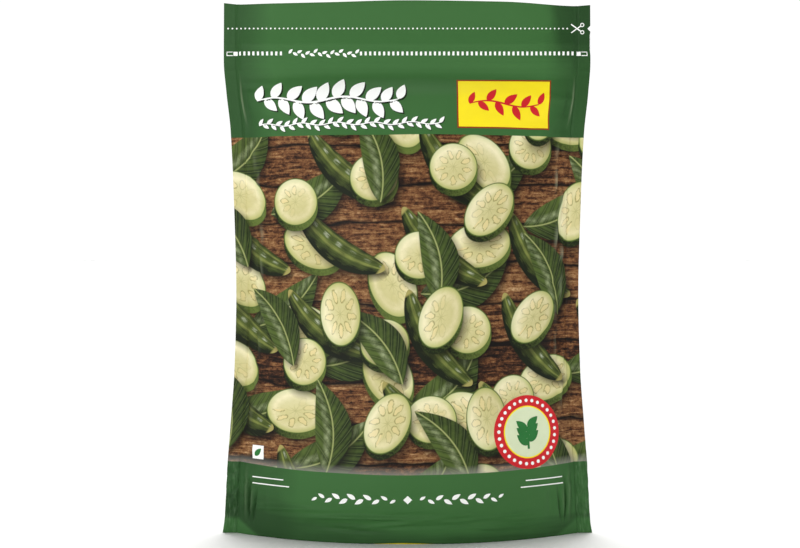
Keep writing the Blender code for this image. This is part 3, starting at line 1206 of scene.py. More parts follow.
@dataclass(frozen=True)
class Scatter:
    """One layer of the printed pattern: a motif in staggered cells, turned at random. Sizes are in mm."""

    motif: Motif
    half_length: float
    half_width: float
    cell: Point
    turn: float
    shift: Point
    present: float
    wobble: float = 0.6
    jitter: float = 0.12

    def group(self, number: int) -> NodeTree:
        """Makes the node group that finds the nearest motif's own coordinates and its mask.

        Args:
            number: the layer's number, which seeds its chances.

        Returns:
            The node group.
        """
        tree = bpy.data.node_groups.new(f"scattered_{self.motif.value}_{number}", "ShaderNodeTree")
        for name in ("X", "Y", "Blur"):
            tree.interface.new_socket(name, in_out="INPUT", socket_type="NodeSocketFloat")
        for name in ("Mask", "Along", "Across", "Value"):
            tree.interface.new_socket(name, in_out="OUTPUT", socket_type="NodeSocketFloat")
        bench = Bench(tree)
        given = bench.add("NodeGroupInput").outputs
        bench = bench.knowing(
            x=given[0], y=given[1], i=self.shift[0], j=self.shift[1], c=math.cos(self.turn),
            s=math.sin(self.turn), l=self.cell[0], w=self.cell[1], k=self.jitter,
        )
        p = bench.formula("(x + i) * c + (y + j) * s")
        q = bench.formula("((y + j) * c - (x + i) * s) / w")
        row = bench.formula("floor(q)", q=q)
        slid = bench.formula("p / l + row * 0.38", p=p, row=row)
        noise = bench.knowing(x=slid).add("ShaderNodeTexWhiteNoise", {
            "Vector": ("floor(x)", row, float(number)),
        }, noise_dimensions="3D")
        chance = bench.add("ShaderNodeSeparateColor", (noise.outputs["Color"],)).outputs
        da = bench.formula("(fract(x) - 0.5 - (r - 0.5) * k) * l", x=slid, r=chance[0])
        db = bench.formula("(fract(q) - 0.5 - (g - 0.5) * k) * w", q=q, g=chance[1])
        turn = bench.formula("(b - 0.5) * w", b=chance[2], w=self.wobble)
        cosine, sine = bench.formula("cos(t)", t=turn), bench.formula("sin(t)", t=turn)
        turned = bench.knowing(a=da, b=db, c=cosine, s=sine)
        along, across = turned.formula("a * c + b * s"), turned.formula("b * c - a * s")
        across, room = self.outline(bench, along, across)
        here = bench.formula("less(r, p)", r=noise.outputs["Value"], p=self.present)
        mask = bench.formula("clamp(room / blur + 0.5) * here", room=room, blur=given[2], here=here)
        bench.add("NodeGroupOutput", (mask, along, across, noise.outputs["Value"]))
        return tree

    def outline(self, bench: Bench, along: Value, across: Value) -> tuple[Value, Value]:
        """Bends the motif's own coordinates and finds how far inside its outline a place is.

        Args:
            bench: the bench of the group.
            along: socket with the place along the motif, in millimetres.
            across: socket with the place across it.

        Returns:
            The bent place across, and how far inside the outline it is.
        """
        bench = bench.knowing(a=along, b=across, l=self.half_length, w=self.half_width)
        if self.motif is Motif.SLICE:
            return across, bench.formula("w - sqrt((a * w / l) ** 2 + b * b)")
        bow, power, lean = (0.010, 0.85, 0.22) if self.motif is Motif.LEAF else (0.0075, 0.5, -0.1)
        across = bench.formula("b - k * a * a + k * 180", k=bow)
        room = bench.formula("w * max(1 - (a / l) ** 2, 0) ** p * (1 - n * a / l) - abs(b)"
                             " - max(abs(a) - l, 0) * 9 - 0.3", b=across, p=power, n=lean)
        return across, room


@dataclass(frozen=True)
class GroceryPattern:
    """The pattern printed on the picture area: leaves, slices and pods scattered on laid boards.

    Scales are in film millimetres. The tones are those of fresh greens, cut flesh and weathered wood in soft
    light. Each painter takes a bench and returns the socket that holds its colour.
    """

    layers: tuple[Scatter, ...] = (
        Scatter(Motif.LEAF, 27, 11.5, (66, 40), 0.55, (13, 7), 0.92),
        Scatter(Motif.SLICE, 18, 12.0, (50, 41), -0.5, (4, 31), 0.62, 1.6),
        Scatter(Motif.POD, 30, 7.8, (68, 35), -0.75, (40, 12), 0.76),
        Scatter(Motif.SLICE, 13.0, 12.6, (44, 42), 0.2, (22, 3), 0.46),
        Scatter(Motif.LEAF, 25, 10.0, (62, 48), 2.1, (5, 50), 0.54, 0.9),
        Scatter(Motif.SLICE, 17, 11.0, (62, 48), 1.1, (31, 27), 0.44, 1.2),
    )
    shadow_shift: Point = (-1.9, 2.3)
    shadow_blur: float = 5.5
    edge_blur: float = 0.40
    slice_thickness: float = 3.0

    def boards(self, bench: Bench) -> NodeSocket:
        """Paints weathered boards laid across, with dark joints and a crusty grain.

        Args:
            bench: knows the place as x and y, in film millimetres.

        Returns:
            The boards' colour.
        """
        drift = bench.add("ShaderNodeTexNoise", {"Vector": ("x * 0.022", "y * 0.10"), "Scale": 1.0,
                                                 "Detail": 3.0})
        bench = bench.knowing(v=bench.formula("y / 21 + (n - 0.5) * 0.55", n=drift))
        tone = bench.add("ShaderNodeTexWhiteNoise", {"W": "floor(v)"}, noise_dimensions="1D").outputs["Value"]
        bench = bench.knowing(t=tone)
        grain = bench.add("ShaderNodeTexNoise", {"Vector": ("x * 0.05 + t * 40", "y * 0.55"), "Scale": 1.0,
                                                 "Detail": 6.0, "Roughness": 0.68, "Distortion": 0.8})
        crust = bench.add("ShaderNodeTexNoise", {"Vector": ("x * 0.30", "y * 0.42"), "Scale": 1.0,
                                                 "Detail": 8.0, "Roughness": 0.80})
        ramp = bench.knowing(g=grain, c=crust).add("ShaderNodeValToRGB", (
            "clamp((g - 0.5) * 1.8 + (c - 0.5) * 2.1 + 0.40 + (t - 0.5) * 0.3)",
        ))
        stops = ramp.color_ramp.elements
        stops[0].position, stops[0].color = 0.0, linear("#140B06")
        stops[1].position, stops[1].color = 1.0, linear("#C9A57A")
        for position, colour in ((0.24, "#3A2214"), (0.46, "#6F4629"), (0.72, "#966F46")):
            stops.new(position).color = linear(colour)
        return bench.stack(ramp, ("clamp((abs(fract(v) - 0.5) - 0.42) * 14)", "#0E0704"))

    def leaf(self, bench: Bench) -> NodeSocket:
        """Paints a dark glossy leaf: a pale midrib, side veins and one half lighter than the other.

        Args:
            bench: knows the motif's own place as a and b, its chance c, and its half sizes l and w.

        Returns:
            The leaf's colour.
        """
        cloud = bench.add("ShaderNodeTexNoise", {"Vector": ("a", "b", "c"), "Scale": 0.16, "Detail": 5.0,
                                                 "Roughness": 0.7})
        bench = bench.knowing(n=cloud, v="fract((a * 0.9 - abs(b) * 1.1) / 5.2)")
        swell = bench.formula("clamp(0.42 + 0.30 * sin((v + 0.25) * 6.283) + b * 0.034 + (n - 0.5) * 1.1)")
        shine = bench.formula("clamp((b - 0.8) * 0.9) * clamp(1.0 - abs(b - 3.2) / 2.6) * s"
                              " * clamp(n * 3 - 0.9)", s=swell)
        return bench.stack(
            "#1E2A12", (swell, "#52642C"), ("clamp(1 - abs(v - 0.5) / 0.085) * 0.45", "#75854A"),
            ("clamp(1.2 - abs(b) / 0.5) * 0.85", "#A6AD6E"), (shine, "#A3AD84"),
        )

    def slice(self, bench: Bench) -> NodeSocket:
        """Paints a cut slice: rind, a green-white edge, cream flesh with clouds, and a ring of seeds.

        Args:
            bench: knows the same as for the leaf.

        Returns:
            The slice's colour.
        """
        half_length, half_width = bench.names["l"], bench.names["w"]
        bench = bench.knowing(s=half_width, a=bench.formula("a * k", k=half_width / half_length))
        bench = bench.knowing(r="sqrt(a * a + b * b) / s")
        cloud = bench.add("ShaderNodeTexNoise", {"Vector": ("a", "b", "c * 90"), "Scale": 0.30,
                                                 "Detail": 5.0, "Roughness": 0.65})
        bench = bench.knowing(n=cloud).knowing(t="atan2(b, a) / 6.2832 * 9 + (n - 0.5) * 0.9")
        bench = bench.knowing(m="sin(floor(t) * 12.9 + c * 80) * 0.5 + 0.5",
                              q="(fract(t) - 0.5) * r * s * 0.70")
        bench = bench.knowing(e="(q / 1.15) ** 2 + ((r - 0.46 - m * 0.12) * s / 2.3) ** 2")
        flesh = bench.stack("#EDE4B6", ("clamp((n - 0.40) * 2.2) * 0.8", "#CFC78D"))
        return bench.stack(
            flesh, ("clamp((0.68 - r) * 5) * 0.55", "#C9C383"),
            ("clamp(1 - abs(q) * 5) * clamp((0.34 - r) * 4) * 0.5", "#8E8C4C"),
            ("clamp(1 - abs(e - 1.1) * 2.2) * clamp(m * 3)", "#8F864A"),
            ("clamp((1 - e) * 2.5) * clamp(m * 3)", "#E9D9A0"), ("clamp((r - 0.74) * 4.5)", "#B9BF74"),
            ("clamp((a * 0.5 - b) / s * 0.55 + 0.42) * (0.35 + c * 0.4)", "#A39C5C"),
            ("clamp((b - a * 0.3) / s * 0.8 - 0.1) * 0.6", "#F8F4D8"), ("clamp((r - 0.945) * 30)", "#4D6428"),
        )

    def wall(self, bench: Bench) -> NodeSocket:
        """Paints the side of a slice: rind in shade, with paler flecks.

        Args:
            bench: knows the same as for the leaf.

        Returns:
            The side's colour.
        """
        fleck = bench.add("ShaderNodeTexNoise", {"Vector": ("a", "b", "c"), "Scale": 0.9, "Detail": 3.0})
        light = bench.formula("clamp(0.5 + a / l * 0.6 + (n - 0.5) * 1.4)", n=fleck)
        return bench.stack("#18220B", (light, "#5E6F30"))

    def pod(self, bench: Bench) -> NodeSocket:
        """Paints a ribbed pod: dark skin with paler ribs and flecks, swellings along it and moist highlights.

        Args:
            bench: knows the same as for the leaf.

        Returns:
            The pod's colour.
        """
        flecks = bench.add("ShaderNodeTexNoise", {"Vector": ("a * 0.10", "b * 0.75", "c * 50"), "Scale": 1.0,
                                                  "Detail": 7.0, "Roughness": 0.78})
        bench = bench.knowing(n=flecks, q="b / (w * sqrt(max(1 - (a / l) ** 2, 0.08)))")
        tone = bench.formula("clamp(0.60 - (q - 0.28) ** 2 * 0.75 + 0.10 * sin(a * 0.72) + (n - 0.5) * 1.8)")
        ribs = bench.formula("clamp(sin(q * (1 + q * q * 0.35) * 7.5 + 1.2) * 1.6 - 0.55) * t * 0.8", t=tone)
        shine = bench.formula("clamp(1 - (q - 0.42) ** 2 * 34) * clamp((sin(a * 0.72) + 0.1) * 0.9)"
                              " * clamp(n * 5 - 2.2) * 0.9")
        return bench.stack("#141C0A", (tone, "#5D6C2F"), (ribs, "#92994F"), (shine, "#D3D8C2"),
                           ("clamp((abs(a) - l * 0.90) * 0.9)", "#A39A5A"))

    def find(self, bench: Bench, group: NodeTree, shift: Point, blur: float) -> tuple[Value, ...]:
        """Finds a layer's motif near a place.

        Args:
            bench: knows the place as x and y, in film millimetres.
            group: the layer's node group.
            shift: how far from there to look, in millimetres.
            blur: how soft the motif's edge is, in millimetres.

        Returns:
            The motif's mask, its own place along and across, and its chance.
        """
        moved = bench.knowing(i=float(shift[0]), j=float(shift[1]))
        return tuple(moved.add("ShaderNodeGroup", ("x + i", "y + j", blur), node_tree=group).outputs)

    def paint(self, bench: Bench) -> NodeSocket:
        """Paints the whole pattern.

        Args:
            bench: knows the place as x and y, in film millimetres.

        Returns:
            The pattern's colour.
        """
        painters = {Motif.LEAF: self.leaf, Motif.SLICE: self.slice, Motif.POD: self.pod}
        colour = self.boards(bench)
        for number, scatter in enumerate(self.layers):
            group = scatter.group(number)
            sunk = (0.0, self.slice_thickness) if scatter.motif is Motif.SLICE else (0.0, 0.0)
            shade_shift = (self.shadow_shift[0], self.shadow_shift[1] + sunk[1])
            shade = self.find(bench, group, shade_shift, self.shadow_blur)[0]
            colour = bench.knowing(m=shade).stack(colour, ("m * 0.86", "#080402"))
            painted = [(sunk, self.wall)] if scatter.motif is Motif.SLICE else []
            for shift, painter in (*painted, ((0.0, 0.0), painters[scatter.motif])):
                mask, a, b, c = self.find(bench, group, shift, self.edge_blur)
                spot = bench.knowing(a=a, b=b, c=c, l=scatter.half_length, w=scatter.half_width)
                colour = bench.stack(colour, (mask, painter(spot)))
        return colour


@dataclass(frozen=True)
class PrintedFilm:
    """Polyester and polyethylene laminate, reverse printed and factory sealed.

    Its outer skin is smooth and satin, so lights make broad soft streaks along its folds.
    """

    side: Side
    green: str = "#3B6836"
    # Colour of the painted highlights on the facets of the lower seals
    painted_facet_highlight: str = "#7F9E78"
    # Pale colour on the fold ridges: partly stress whitening, partly a painted highlight
    clouded: str = "#C6D0AE"
    # Colour of the painted shade at the edges, the top right corner, the bottom strip and the seal facets
    painted_shade_green: str = "#1B3819"
    yellow: str = "#E9DC2B"
    sealant: str = "#E6E8E4"
    picture_top: float = 215.3
    picture_low: float = 37.0
    roughness: float = 0.55
    gloss: float = 0.15
    ripple_mm: float = 9.0

    def material(self) -> Material:
        """Makes the film's finish."""
        material, bench, shader = new_material(f"printed_film_{self.side.name.lower()}")
        uv = bench.add("ShaderNodeUVMap", uv_map=FILM_MAP)
        place = bench.add("ShaderNodeSeparateXYZ", (uv,)).outputs
        bench = bench.knowing(
            x=bench.formula(f"(u - 0.5) * {FILM_SPAN}", u=place[0]),
            y=bench.formula(f"v * {FILM_SPAN}", v=place[1]),
            inside=bench.add("ShaderNodeAttribute", attribute_name=INSIDE).outputs["Fac"],
        )
        clouded = bench.add("ShaderNodeAttribute", attribute_name=WHITENING_HIGHLIGHT).outputs["Fac"]
        painted = self.front(bench) if self.side is Side.FRONT else self.back(bench)
        # Whitens the fold ridges: partly stress whitening, partly a painted highlight
        printed = bench.stack(painted, (clouded, self.clouded), ("clamp((inside - 0.5) * 9)", self.sealant))
        ripple = bench.add("ShaderNodeTexNoise", {
            "Vector": bench.add("ShaderNodeTexCoord").outputs["Object"],
            "Scale": 1 / (self.ripple_mm * MM), "Detail": 2.0,
        })
        bump = bench.add("ShaderNodeBump", {"Strength": 0.10, "Distance": 0.0004, "Height": ripple})
        bench.feed(shader, {"Base Color": printed, "Normal": bump, "Roughness": self.roughness,
                            "Specular IOR Level": self.gloss})
        return material

    def ground(self, bench: Bench) -> NodeSocket:
        """Paints the green ground, with painted shade darker towards the side edges, in the top corner at the
        right, along the bottom strip and at the lower left.

        Args:
            bench: knows the place as x and y, in film millimetres.

        Returns:
            The ground's colour.
        """
        drift = bench.add("ShaderNodeTexNoise", {"Vector": ("x", "y"), "Scale": 0.035, "Detail": 2.0})
        streak = bench.add("ShaderNodeTexNoise", {"Vector": ("x * 0.022", "y * 0.30"), "Scale": 1.0,
                                                  "Detail": 4.0, "Distortion": 0.6})
        bench = bench.knowing(
            n=drift, s=streak, f=self.crumpled(bench), a="abs(x - 25) / 120",
            k=f"1 - clamp(({SEAL_CORNER} - y - max(93 - abs(x), 0) * {SEAL_SLANT}) * 0.45)",
        )
        return bench.stack(
            self.green,
            # Painted shade towards the side edges, where the film turns away from the light
            ("clamp((abs(x) + (n - 0.5) * 14 - 74) / 15) * (0.2 + 0.35 * clamp((y - 30) / 25)) * k",
             self.painted_shade_green),
            # Painted shade in the top right corner, where the top leans back
            ("clamp((x + (y - 275) * 0.10 - 78) / 5) * clamp((y - 254) / 14) * 0.55", self.painted_shade_green),
            # Painted shade along the bottom strip, which faces down
            ("clamp((7.6 + a * a * 24 + (n - 0.5) * 8 - y) / (4.5 + a * 11) + (s - 0.5) * 1.6) * 0.54"
             " * clamp((27 - y) / 6) * k", self.painted_shade_green),
            # Painted shade at the lower left
            ("clamp((0 - x - 56 + (n - 0.5) * 12) / 12) * clamp((46 - y) / 8) * 0.36 * k", self.painted_shade_green),
            # Painted highlight and painted shade on the facets of the lower seals
            ("clamp(f) * 0.18", self.painted_facet_highlight), ("clamp(0 - f) * 0.24", self.painted_shade_green),
        )

    def crumpled(self, bench: Bench) -> NodeSocket:
        """Finds the painted highlight and painted shade on the crumpled facets of the lower seals.

        Args:
            bench: knows the place as x and y, in film millimetres.

        Returns:
            The socket that holds it, from -1 to 1.
        """
        facets = bench.add("ShaderNodeTexNoise", {
            "Vector": ("(abs(x) + y * 0.55) * 0.17", "(y - abs(x) * 0.5) * 0.075", "x"), "Scale": 1.0,
            "Detail": 2.0, "Distortion": 1.2,
        })
        return bench.formula("(n - 0.5) * 5 * clamp((abs(x) - 92.4) / 1.2) * clamp((70 - y) / 30)", n=facets)

    def front(self, bench: Bench) -> NodeSocket:
        """Paints the front: green above and below a picture area with the pattern.

        Args:
            bench: knows the place as x and y, in film millimetres.

        Returns:
            The front's colour.
        """
        bench = bench.knowing(l=f"y - {self.picture_low} - (x / 100) ** 2 * 2.2", t=self.picture_top)
        pattern = bench.stack(GroceryPattern().paint(bench), ("clamp(1 - l / 4.5) * 0.5", "#A7A79C"))
        return bench.stack(self.ground(bench), ("clamp(l * 4) * clamp((t - y) * 8)", pattern))

    def back(self, bench: Bench) -> NodeSocket:
        """Paints the back: green with a yellow band over the zip and a strip of the pattern.

        Args:
            bench: knows the place as x and y, in film millimetres.

        Returns:
            The back's colour.
        """
        return bench.stack(
            self.ground(bench), ("clamp((y - 263.5) * 8) * clamp((272 - y) * 8)", self.yellow),
            ("clamp((y - 166) * 8) * clamp((212 - y) * 8)", GroceryPattern().paint(bench)),
        )


@dataclass(frozen=True)
class PlainPlastic:
    """A plastic of one colour, a little uneven, such as the gusset's film or the zip's polyethylene."""

    name: str
    colour: str
    shade: str
    roughness: float
    mottle_mm: float
    bump: float = 0.0002
    clouding: float = 0.0
    gloss: float = 0.2

    def material(self) -> Material:
        """Makes the finish."""
        material, bench, shader = new_material(self.name)
        place = bench.add("ShaderNodeTexCoord").outputs["Object"]
        scale = 1 / (self.mottle_mm * MM)
        mottle = bench.add("ShaderNodeTexNoise", {"Vector": place, "Scale": scale, "Detail": 3.0})
        bump = bench.add("ShaderNodeBump", {"Strength": 0.2, "Distance": self.bump, "Height": mottle})
        bench.feed(shader, {
            "Base Color": bench.stack(self.colour, (mottle, self.shade)), "Normal": bump,
            "Roughness": self.roughness, "Subsurface Weight": self.clouding, "Subsurface Scale": 0.001,
            "Specular IOR Level": self.gloss,
        })
        return material


@dataclass(frozen=True)
class Ink:
    """Gravure ink under the film's outer skin: flat, a little thinner in clouds, with the film's satin."""

    name: str
    colour: str
    thin: str

    def material(self) -> Material:
        """Makes the finish, with the faint cloudiness of a printed solid."""
        finish = PlainPlastic(f"ink_{self.name}", self.colour, self.thin, 0.5, 6.0, 0.0001, gloss=0.15)
        return finish.material()


INKS = (
    Ink("white", "#FFFFFF", "#F6F9F2"), Ink("shadow", "#142110", "#1B2C14"),
    Ink("yellow", "#FFEA20", "#F8E02B"), Ink("red", "#D4222B", "#C4262B"), Ink("rust", "#9C3A1C", "#8C3A20"),
    Ink("leaf", "#2E7A3A", "#2A6E36"), Ink("pale", "#E0EAC8", "#D4E0B8"),
)


@dataclass
class FilmPrinter:
    """Lays flat printed marks on a film with Geometry Nodes, in inks that go by their names."""

    guide: Object
    inks: dict[str, Material]

    INK_LIFT = 0.06

    def begin(self, name: str, ink: str, layer: int,
              **more: tuple[str, object]) -> tuple[Bench, dict[str, Value], dict[str, object]]:
        """Starts a tree with named inputs.

        Args:
            name: the tree's name.
            ink: the marks' ink.
            layer: how many other marks they lie on.
            more: the type and the value of each further input.

        Returns:
            A bench on the tree, its inputs by name, and each input's value by its socket's identifier.
        """
        inputs = {"Geometry": ("Geometry", None), "Film": ("Object", self.guide),
                  "Lift": ("Float", self.INK_LIFT * (1 + layer)), "Ink": ("Material", self.inks[ink]), **more}
        tree = bpy.data.node_groups.new(name, "GeometryNodeTree")
        values = {}
        for label, (kind, value) in inputs.items():
            socket = tree.interface.new_socket(label, in_out="INPUT", socket_type=f"NodeSocket{kind}")
            values[socket.identifier] = value
        tree.interface.new_socket("Geometry", in_out="OUTPUT", socket_type="NodeSocketGeometry")
        bench = Bench(tree)
        given = dict(zip(inputs, bench.add("NodeGroupInput").outputs))
        return bench.knowing(lift=given["Lift"]), given, values

    def lay_on(self, bench: Bench, marks: Value, film: Value) -> Node:
        """Moves marks from the flat layout onto the film, raised by their own height and the tree's lift.

        Args:
            bench: the tree's bench, which knows the lift in millimetres.
            marks: the flat marks.
            film: the guide that the film's outer face is read from.

        Returns:
            The node that gives the moved marks.
        """
        film = bench.add("GeometryNodeObjectInfo", {"Object": film}).outputs["Geometry"]
        flat = bench.add("ShaderNodeSeparateXYZ", (bench.add("GeometryNodeInputPosition"),)).outputs
        bench = bench.knowing(x=flat[0], y=flat[1], z=flat[2], s=FILM_SPAN, m=MM)
        where = bench.add("ShaderNodeCombineXYZ", ("x / s + 0.5", "y / s"))
        uv_map = bench.add("GeometryNodeInputNamedAttribute", {"Name": FILM_MAP}, data_type="FLOAT_VECTOR")
        place, normal = (bench.add("GeometryNodeSampleUVSurface", {
            "Mesh": film, "Value": bench.add(kind), "UV Map": uv_map, "Sample UV": where,
        }, data_type="FLOAT_VECTOR") for kind in ("GeometryNodeInputPosition", "GeometryNodeInputNormal"))
        raised = bench.add("ShaderNodeVectorMath", {0: normal, 3: "(z + lift) * m"}, operation="SCALE")
        place = bench.add("ShaderNodeVectorMath", (place, raised), operation="ADD")
        return bench.add("GeometryNodeSetPosition", {"Geometry": marks, "Position": place})

    def finish(self, name: str, host: Mesh, begun: tuple, marks: Value, ink: str) -> Object:
        """Ends a tree, runs it on a host mesh and keeps the result as a plain piece.

        Args:
            name: the piece's name.
            host: the mesh that the tree starts from.
            begun: what begin returned.
            marks: the flat marks in the tree.
            ink: their ink.

        Returns:
            The printed piece.
        """
        bench, given, values = begun
        laid = self.lay_on(bench, marks, given["Film"])
        inked = bench.add("GeometryNodeSetMaterial", {"Geometry": laid, "Material": given["Ink"]})
        bench.add("NodeGroupOutput", (inked,))
        helper = add_piece("helper", host, None)
        modifier = helper.modifiers.new("wrap", "NODES")
        modifier.node_group = bench.tree
        for identifier, value in values.items():
            if value is not None:
                modifier[identifier] = value
        evaluated = helper.evaluated_get(bpy.context.evaluated_depsgraph_get())
        mesh = bpy.data.meshes.new_from_object(evaluated)
        helper.modifiers.remove(modifier)
        bpy.data.objects.remove(helper)
        bpy.data.node_groups.remove(bench.tree)
        return add_piece(name, mesh, self.inks[ink])

    def plate(self, name: str, flat: Mesh, ink: str, layer: int = 0) -> Object:
        """Wraps a flat mesh onto the film.

        Args:
            name: the piece's name.
            flat: a closed thin mesh in film millimetres.
            ink: its ink.
            layer: how many other marks it lies on.

        Returns:
            The printed piece.
        """
        begun = self.begin("plate_on_film", ink, layer)
        piece = self.finish(name, flat, begun, begun[1]["Geometry"], ink)
        piece.data.shade_flat()
        return piece

    def row(self, name: str, stamp: Mesh, path: list[Point], count: int, ink: str,
            lean: float = 0.0, taper: float = 0.0, layer: int = 0) -> Object:
        """Stamps a mark along a path on the film.

        Args:
            name: the piece's name.
            stamp: the mark, a closed thin mesh in millimetres that points along +X.
            path: the path's corners, in film millimetres.
            count: how many marks there are.
            ink: their ink.
            lean: how far the marks turn off the path, to the left and the right in turn, in radians.
            taper: how much smaller the marks are at the path's ends, from 0 to 1.
            layer: how many other marks they lie on.

        Returns:
            The printed piece.
        """
        helper = add_piece("stamp", stamp, None)
        begun = self.begin("stamps_on_film", ink, layer, Stamp=("Object", helper), Count=("Int", count),
                           Lean=("Float", lean), Taper=("Float", taper))
        bench, given, _ = begun
        curve = bench.add("GeometryNodeMeshToCurve", {"Mesh": given["Geometry"]})
        points = bench.add("GeometryNodeCurveToPoints", {
            "Curve": curve, "Count": given["Count"],
        }, mode="COUNT")
        heading = bench.add("ShaderNodeSeparateXYZ", (points.outputs["Tangent"],)).outputs
        bench = bench.knowing(
            i=bench.add("GeometryNodeInputIndex"), n=given["Count"], t=given["Taper"], l=given["Lean"],
            x=heading[0], y=heading[1],
        )
        bench = bench.knowing(h="1 - 4 * fract(i / 2)", size="1 - t * (1 - sin(i / max(n - 1, 1) * 3.1416))")
        stamp_info = bench.add("GeometryNodeObjectInfo", {"Object": given["Stamp"]}).outputs["Geometry"]
        placed = bench.add("GeometryNodeInstanceOnPoints", {
            "Points": points.outputs["Points"], "Instance": stamp_info,
            "Rotation": (0.0, 0.0, "atan2(y, x) + h * l"), "Scale": ("size", "size", 1.0),
        })
        real = bench.add("GeometryNodeRealizeInstances", {"Geometry": placed})
        line = bpy.data.meshes.new("path")
        line.from_pydata([(x, y, 0.0) for x, y in path], [(i, i + 1) for i in range(len(path) - 1)], [])
        piece = self.finish(name, line, begun, real, ink)
        bpy.data.objects.remove(helper)
        return piece


class Flat:
    """Flat closed shapes in film millimetres, a few hundredths thick, fine enough to bend with the film."""

    INK = 0.03
    STEP = 1.4
    FINE = 0.45
    MERGE = 0.004

    @classmethod
    def solid(cls, outlines: Array, round_: bool = False) -> Mesh:
        """Makes a thin closed mesh from a grid of points.

        Args:
            outlines: the (x, y) points, as rows of columns. A row may lie on one point.
            round_: whether the last column joins the first, as in a ring.

        Returns:
            The mesh.
        """
        rows, columns = outlines.shape[:2]
        top = np.concatenate([outlines, np.full((rows, columns, 1), cls.INK)], axis=2)
        bottom = top * (1, 1, 0)
        count = rows * columns
        index = np.arange(count).reshape(rows, columns)
        if round_:
            index = np.concatenate([index, index[:, :1]], axis=1)
            edges = [index[-1]] + ([index[0]] if np.ptp(outlines[0], axis=0).max() > 0 else [])
        else:
            edges = [np.concatenate([index[0, :], index[1:, -1], index[-1, -2::-1], index[-2::-1, 0]])]
        cells = quads(index)
        rims = [np.stack([e[1:], e[:-1], e[:-1] + count, e[1:] + count], axis=1) for e in edges]
        mesh = bpy.data.meshes.new("flat")
        points = np.concatenate([top.reshape(-1, 3), bottom.reshape(-1, 3)])
        mesh.from_pydata(points.tolist(), [], np.concatenate([cells, cells[:, ::-1] + count, *rims]).tolist())
        return turn_outward(mesh, cls.MERGE)

    @classmethod
    def box(cls, low: Point, high: Point, step: float = STEP) -> Mesh:
        """A rectangle between two corners, divided at a step."""
        xs = np.linspace(low[0], high[0], max(2, int((high[0] - low[0]) / step) + 2))
        ys = np.linspace(low[1], high[1], max(2, int((high[1] - low[1]) / step) + 2))
        x, y = np.meshgrid(xs, ys)
        return cls.solid(np.stack([x, y], axis=2))

    @classmethod
    def ring(cls, centre: Point, inner: float, outer: float, sides: int = 72) -> Mesh:
        """A ring, or a disc where its inner radius is 0.

        Args:
            centre: its middle.
            inner: the inner radius.
            outer: the outer radius.
            sides: how many corners it has round.

        Returns:
            The mesh.
        """
        radii = np.linspace(inner, outer, max(2, int((outer - inner) / cls.STEP) + 2))
        turns = np.linspace(0, TURN, sides, endpoint=False)
        turn, radius = np.meshgrid(turns, radii)
        place = [centre[0] + radius * np.cos(turn), centre[1] + radius * np.sin(turn)]
        return cls.solid(np.stack(place, axis=2), round_=True)

    @classmethod
    def leaf(cls, length: float, width: float, rows: int = 5, columns: int = 12) -> Mesh:
        """A pointed leaf from the origin along +X."""
        t, s = np.meshgrid(np.linspace(0, 1, columns), np.linspace(-1, 1, rows))
        half = width / 2 * np.sin(math.pi * t**0.8) ** 0.85
        half[:, -1] = 0
        return cls.solid(np.stack([t * length, s * half], axis=2))

    @classmethod
    def stroke(cls, path: list[Point], width: float, taper: float = 0.0) -> Mesh:
        """A line of one width along a path, drawn finer at its ends where it tapers.

        Args:
            path: the path's points.
            width: the line's width.
            taper: how much finer it is at its ends, from 0 to 1.

        Returns:
            The mesh.
        """
        points = np.array(path, dtype=float)
        heading = np.gradient(points, axis=0)
        heading /= np.linalg.norm(heading, axis=1, keepdims=True)
        normal = np.stack([-heading[:, 1], heading[:, 0]], axis=1)
        share = np.linspace(0, 1, len(points))
        half = width / 2 * (1 - taper * (1 - np.sin(math.pi * share)))
        sides = [points + normal * (half * s)[:, None] for s in (1, 0, -1)]
        return cls.solid(np.stack(sides, axis=0))

    @classmethod
    def together(cls, *meshes: Mesh) -> Mesh:
        """Joins shapes that don't touch into one mesh.

        Args:
            meshes: the shapes.

        Returns:
            The joined mesh.
        """
        shape = bmesh.new()
        for mesh in meshes:
            shape.from_mesh(mesh)
        joined = bpy.data.meshes.new("flat")
        shape.to_mesh(joined)
        shape.free()
        return joined


def wave(start: Point, length: float, height: float, turns: float, count: int = 60) -> list[Point]:
    """Points of a wavy line that runs to the right from a start."""
    shares = np.linspace(0, 1, count)
    return [(start[0] + length * s, start[1] + height * math.sin(TURN * turns * s)) for s in shares]


def straight(start: Point, end: Point, count: int = 40) -> list[Point]:
    """Points of a straight line."""
    run = (end[0] - start[0], end[1] - start[1])
    return [(start[0] + run[0] * s, start[1] + run[1] * s) for s in np.linspace(0, 1, count)]


def circle(centre: Point, radius: float, count: int = 72) -> list[Point]:
    """Points of a circle, from the top round to the point before it."""
    turns = [TURN * i / count for i in range(count)]
    return [(centre[0] + radius * math.sin(t), centre[1] + radius * math.cos(t)) for t in turns]


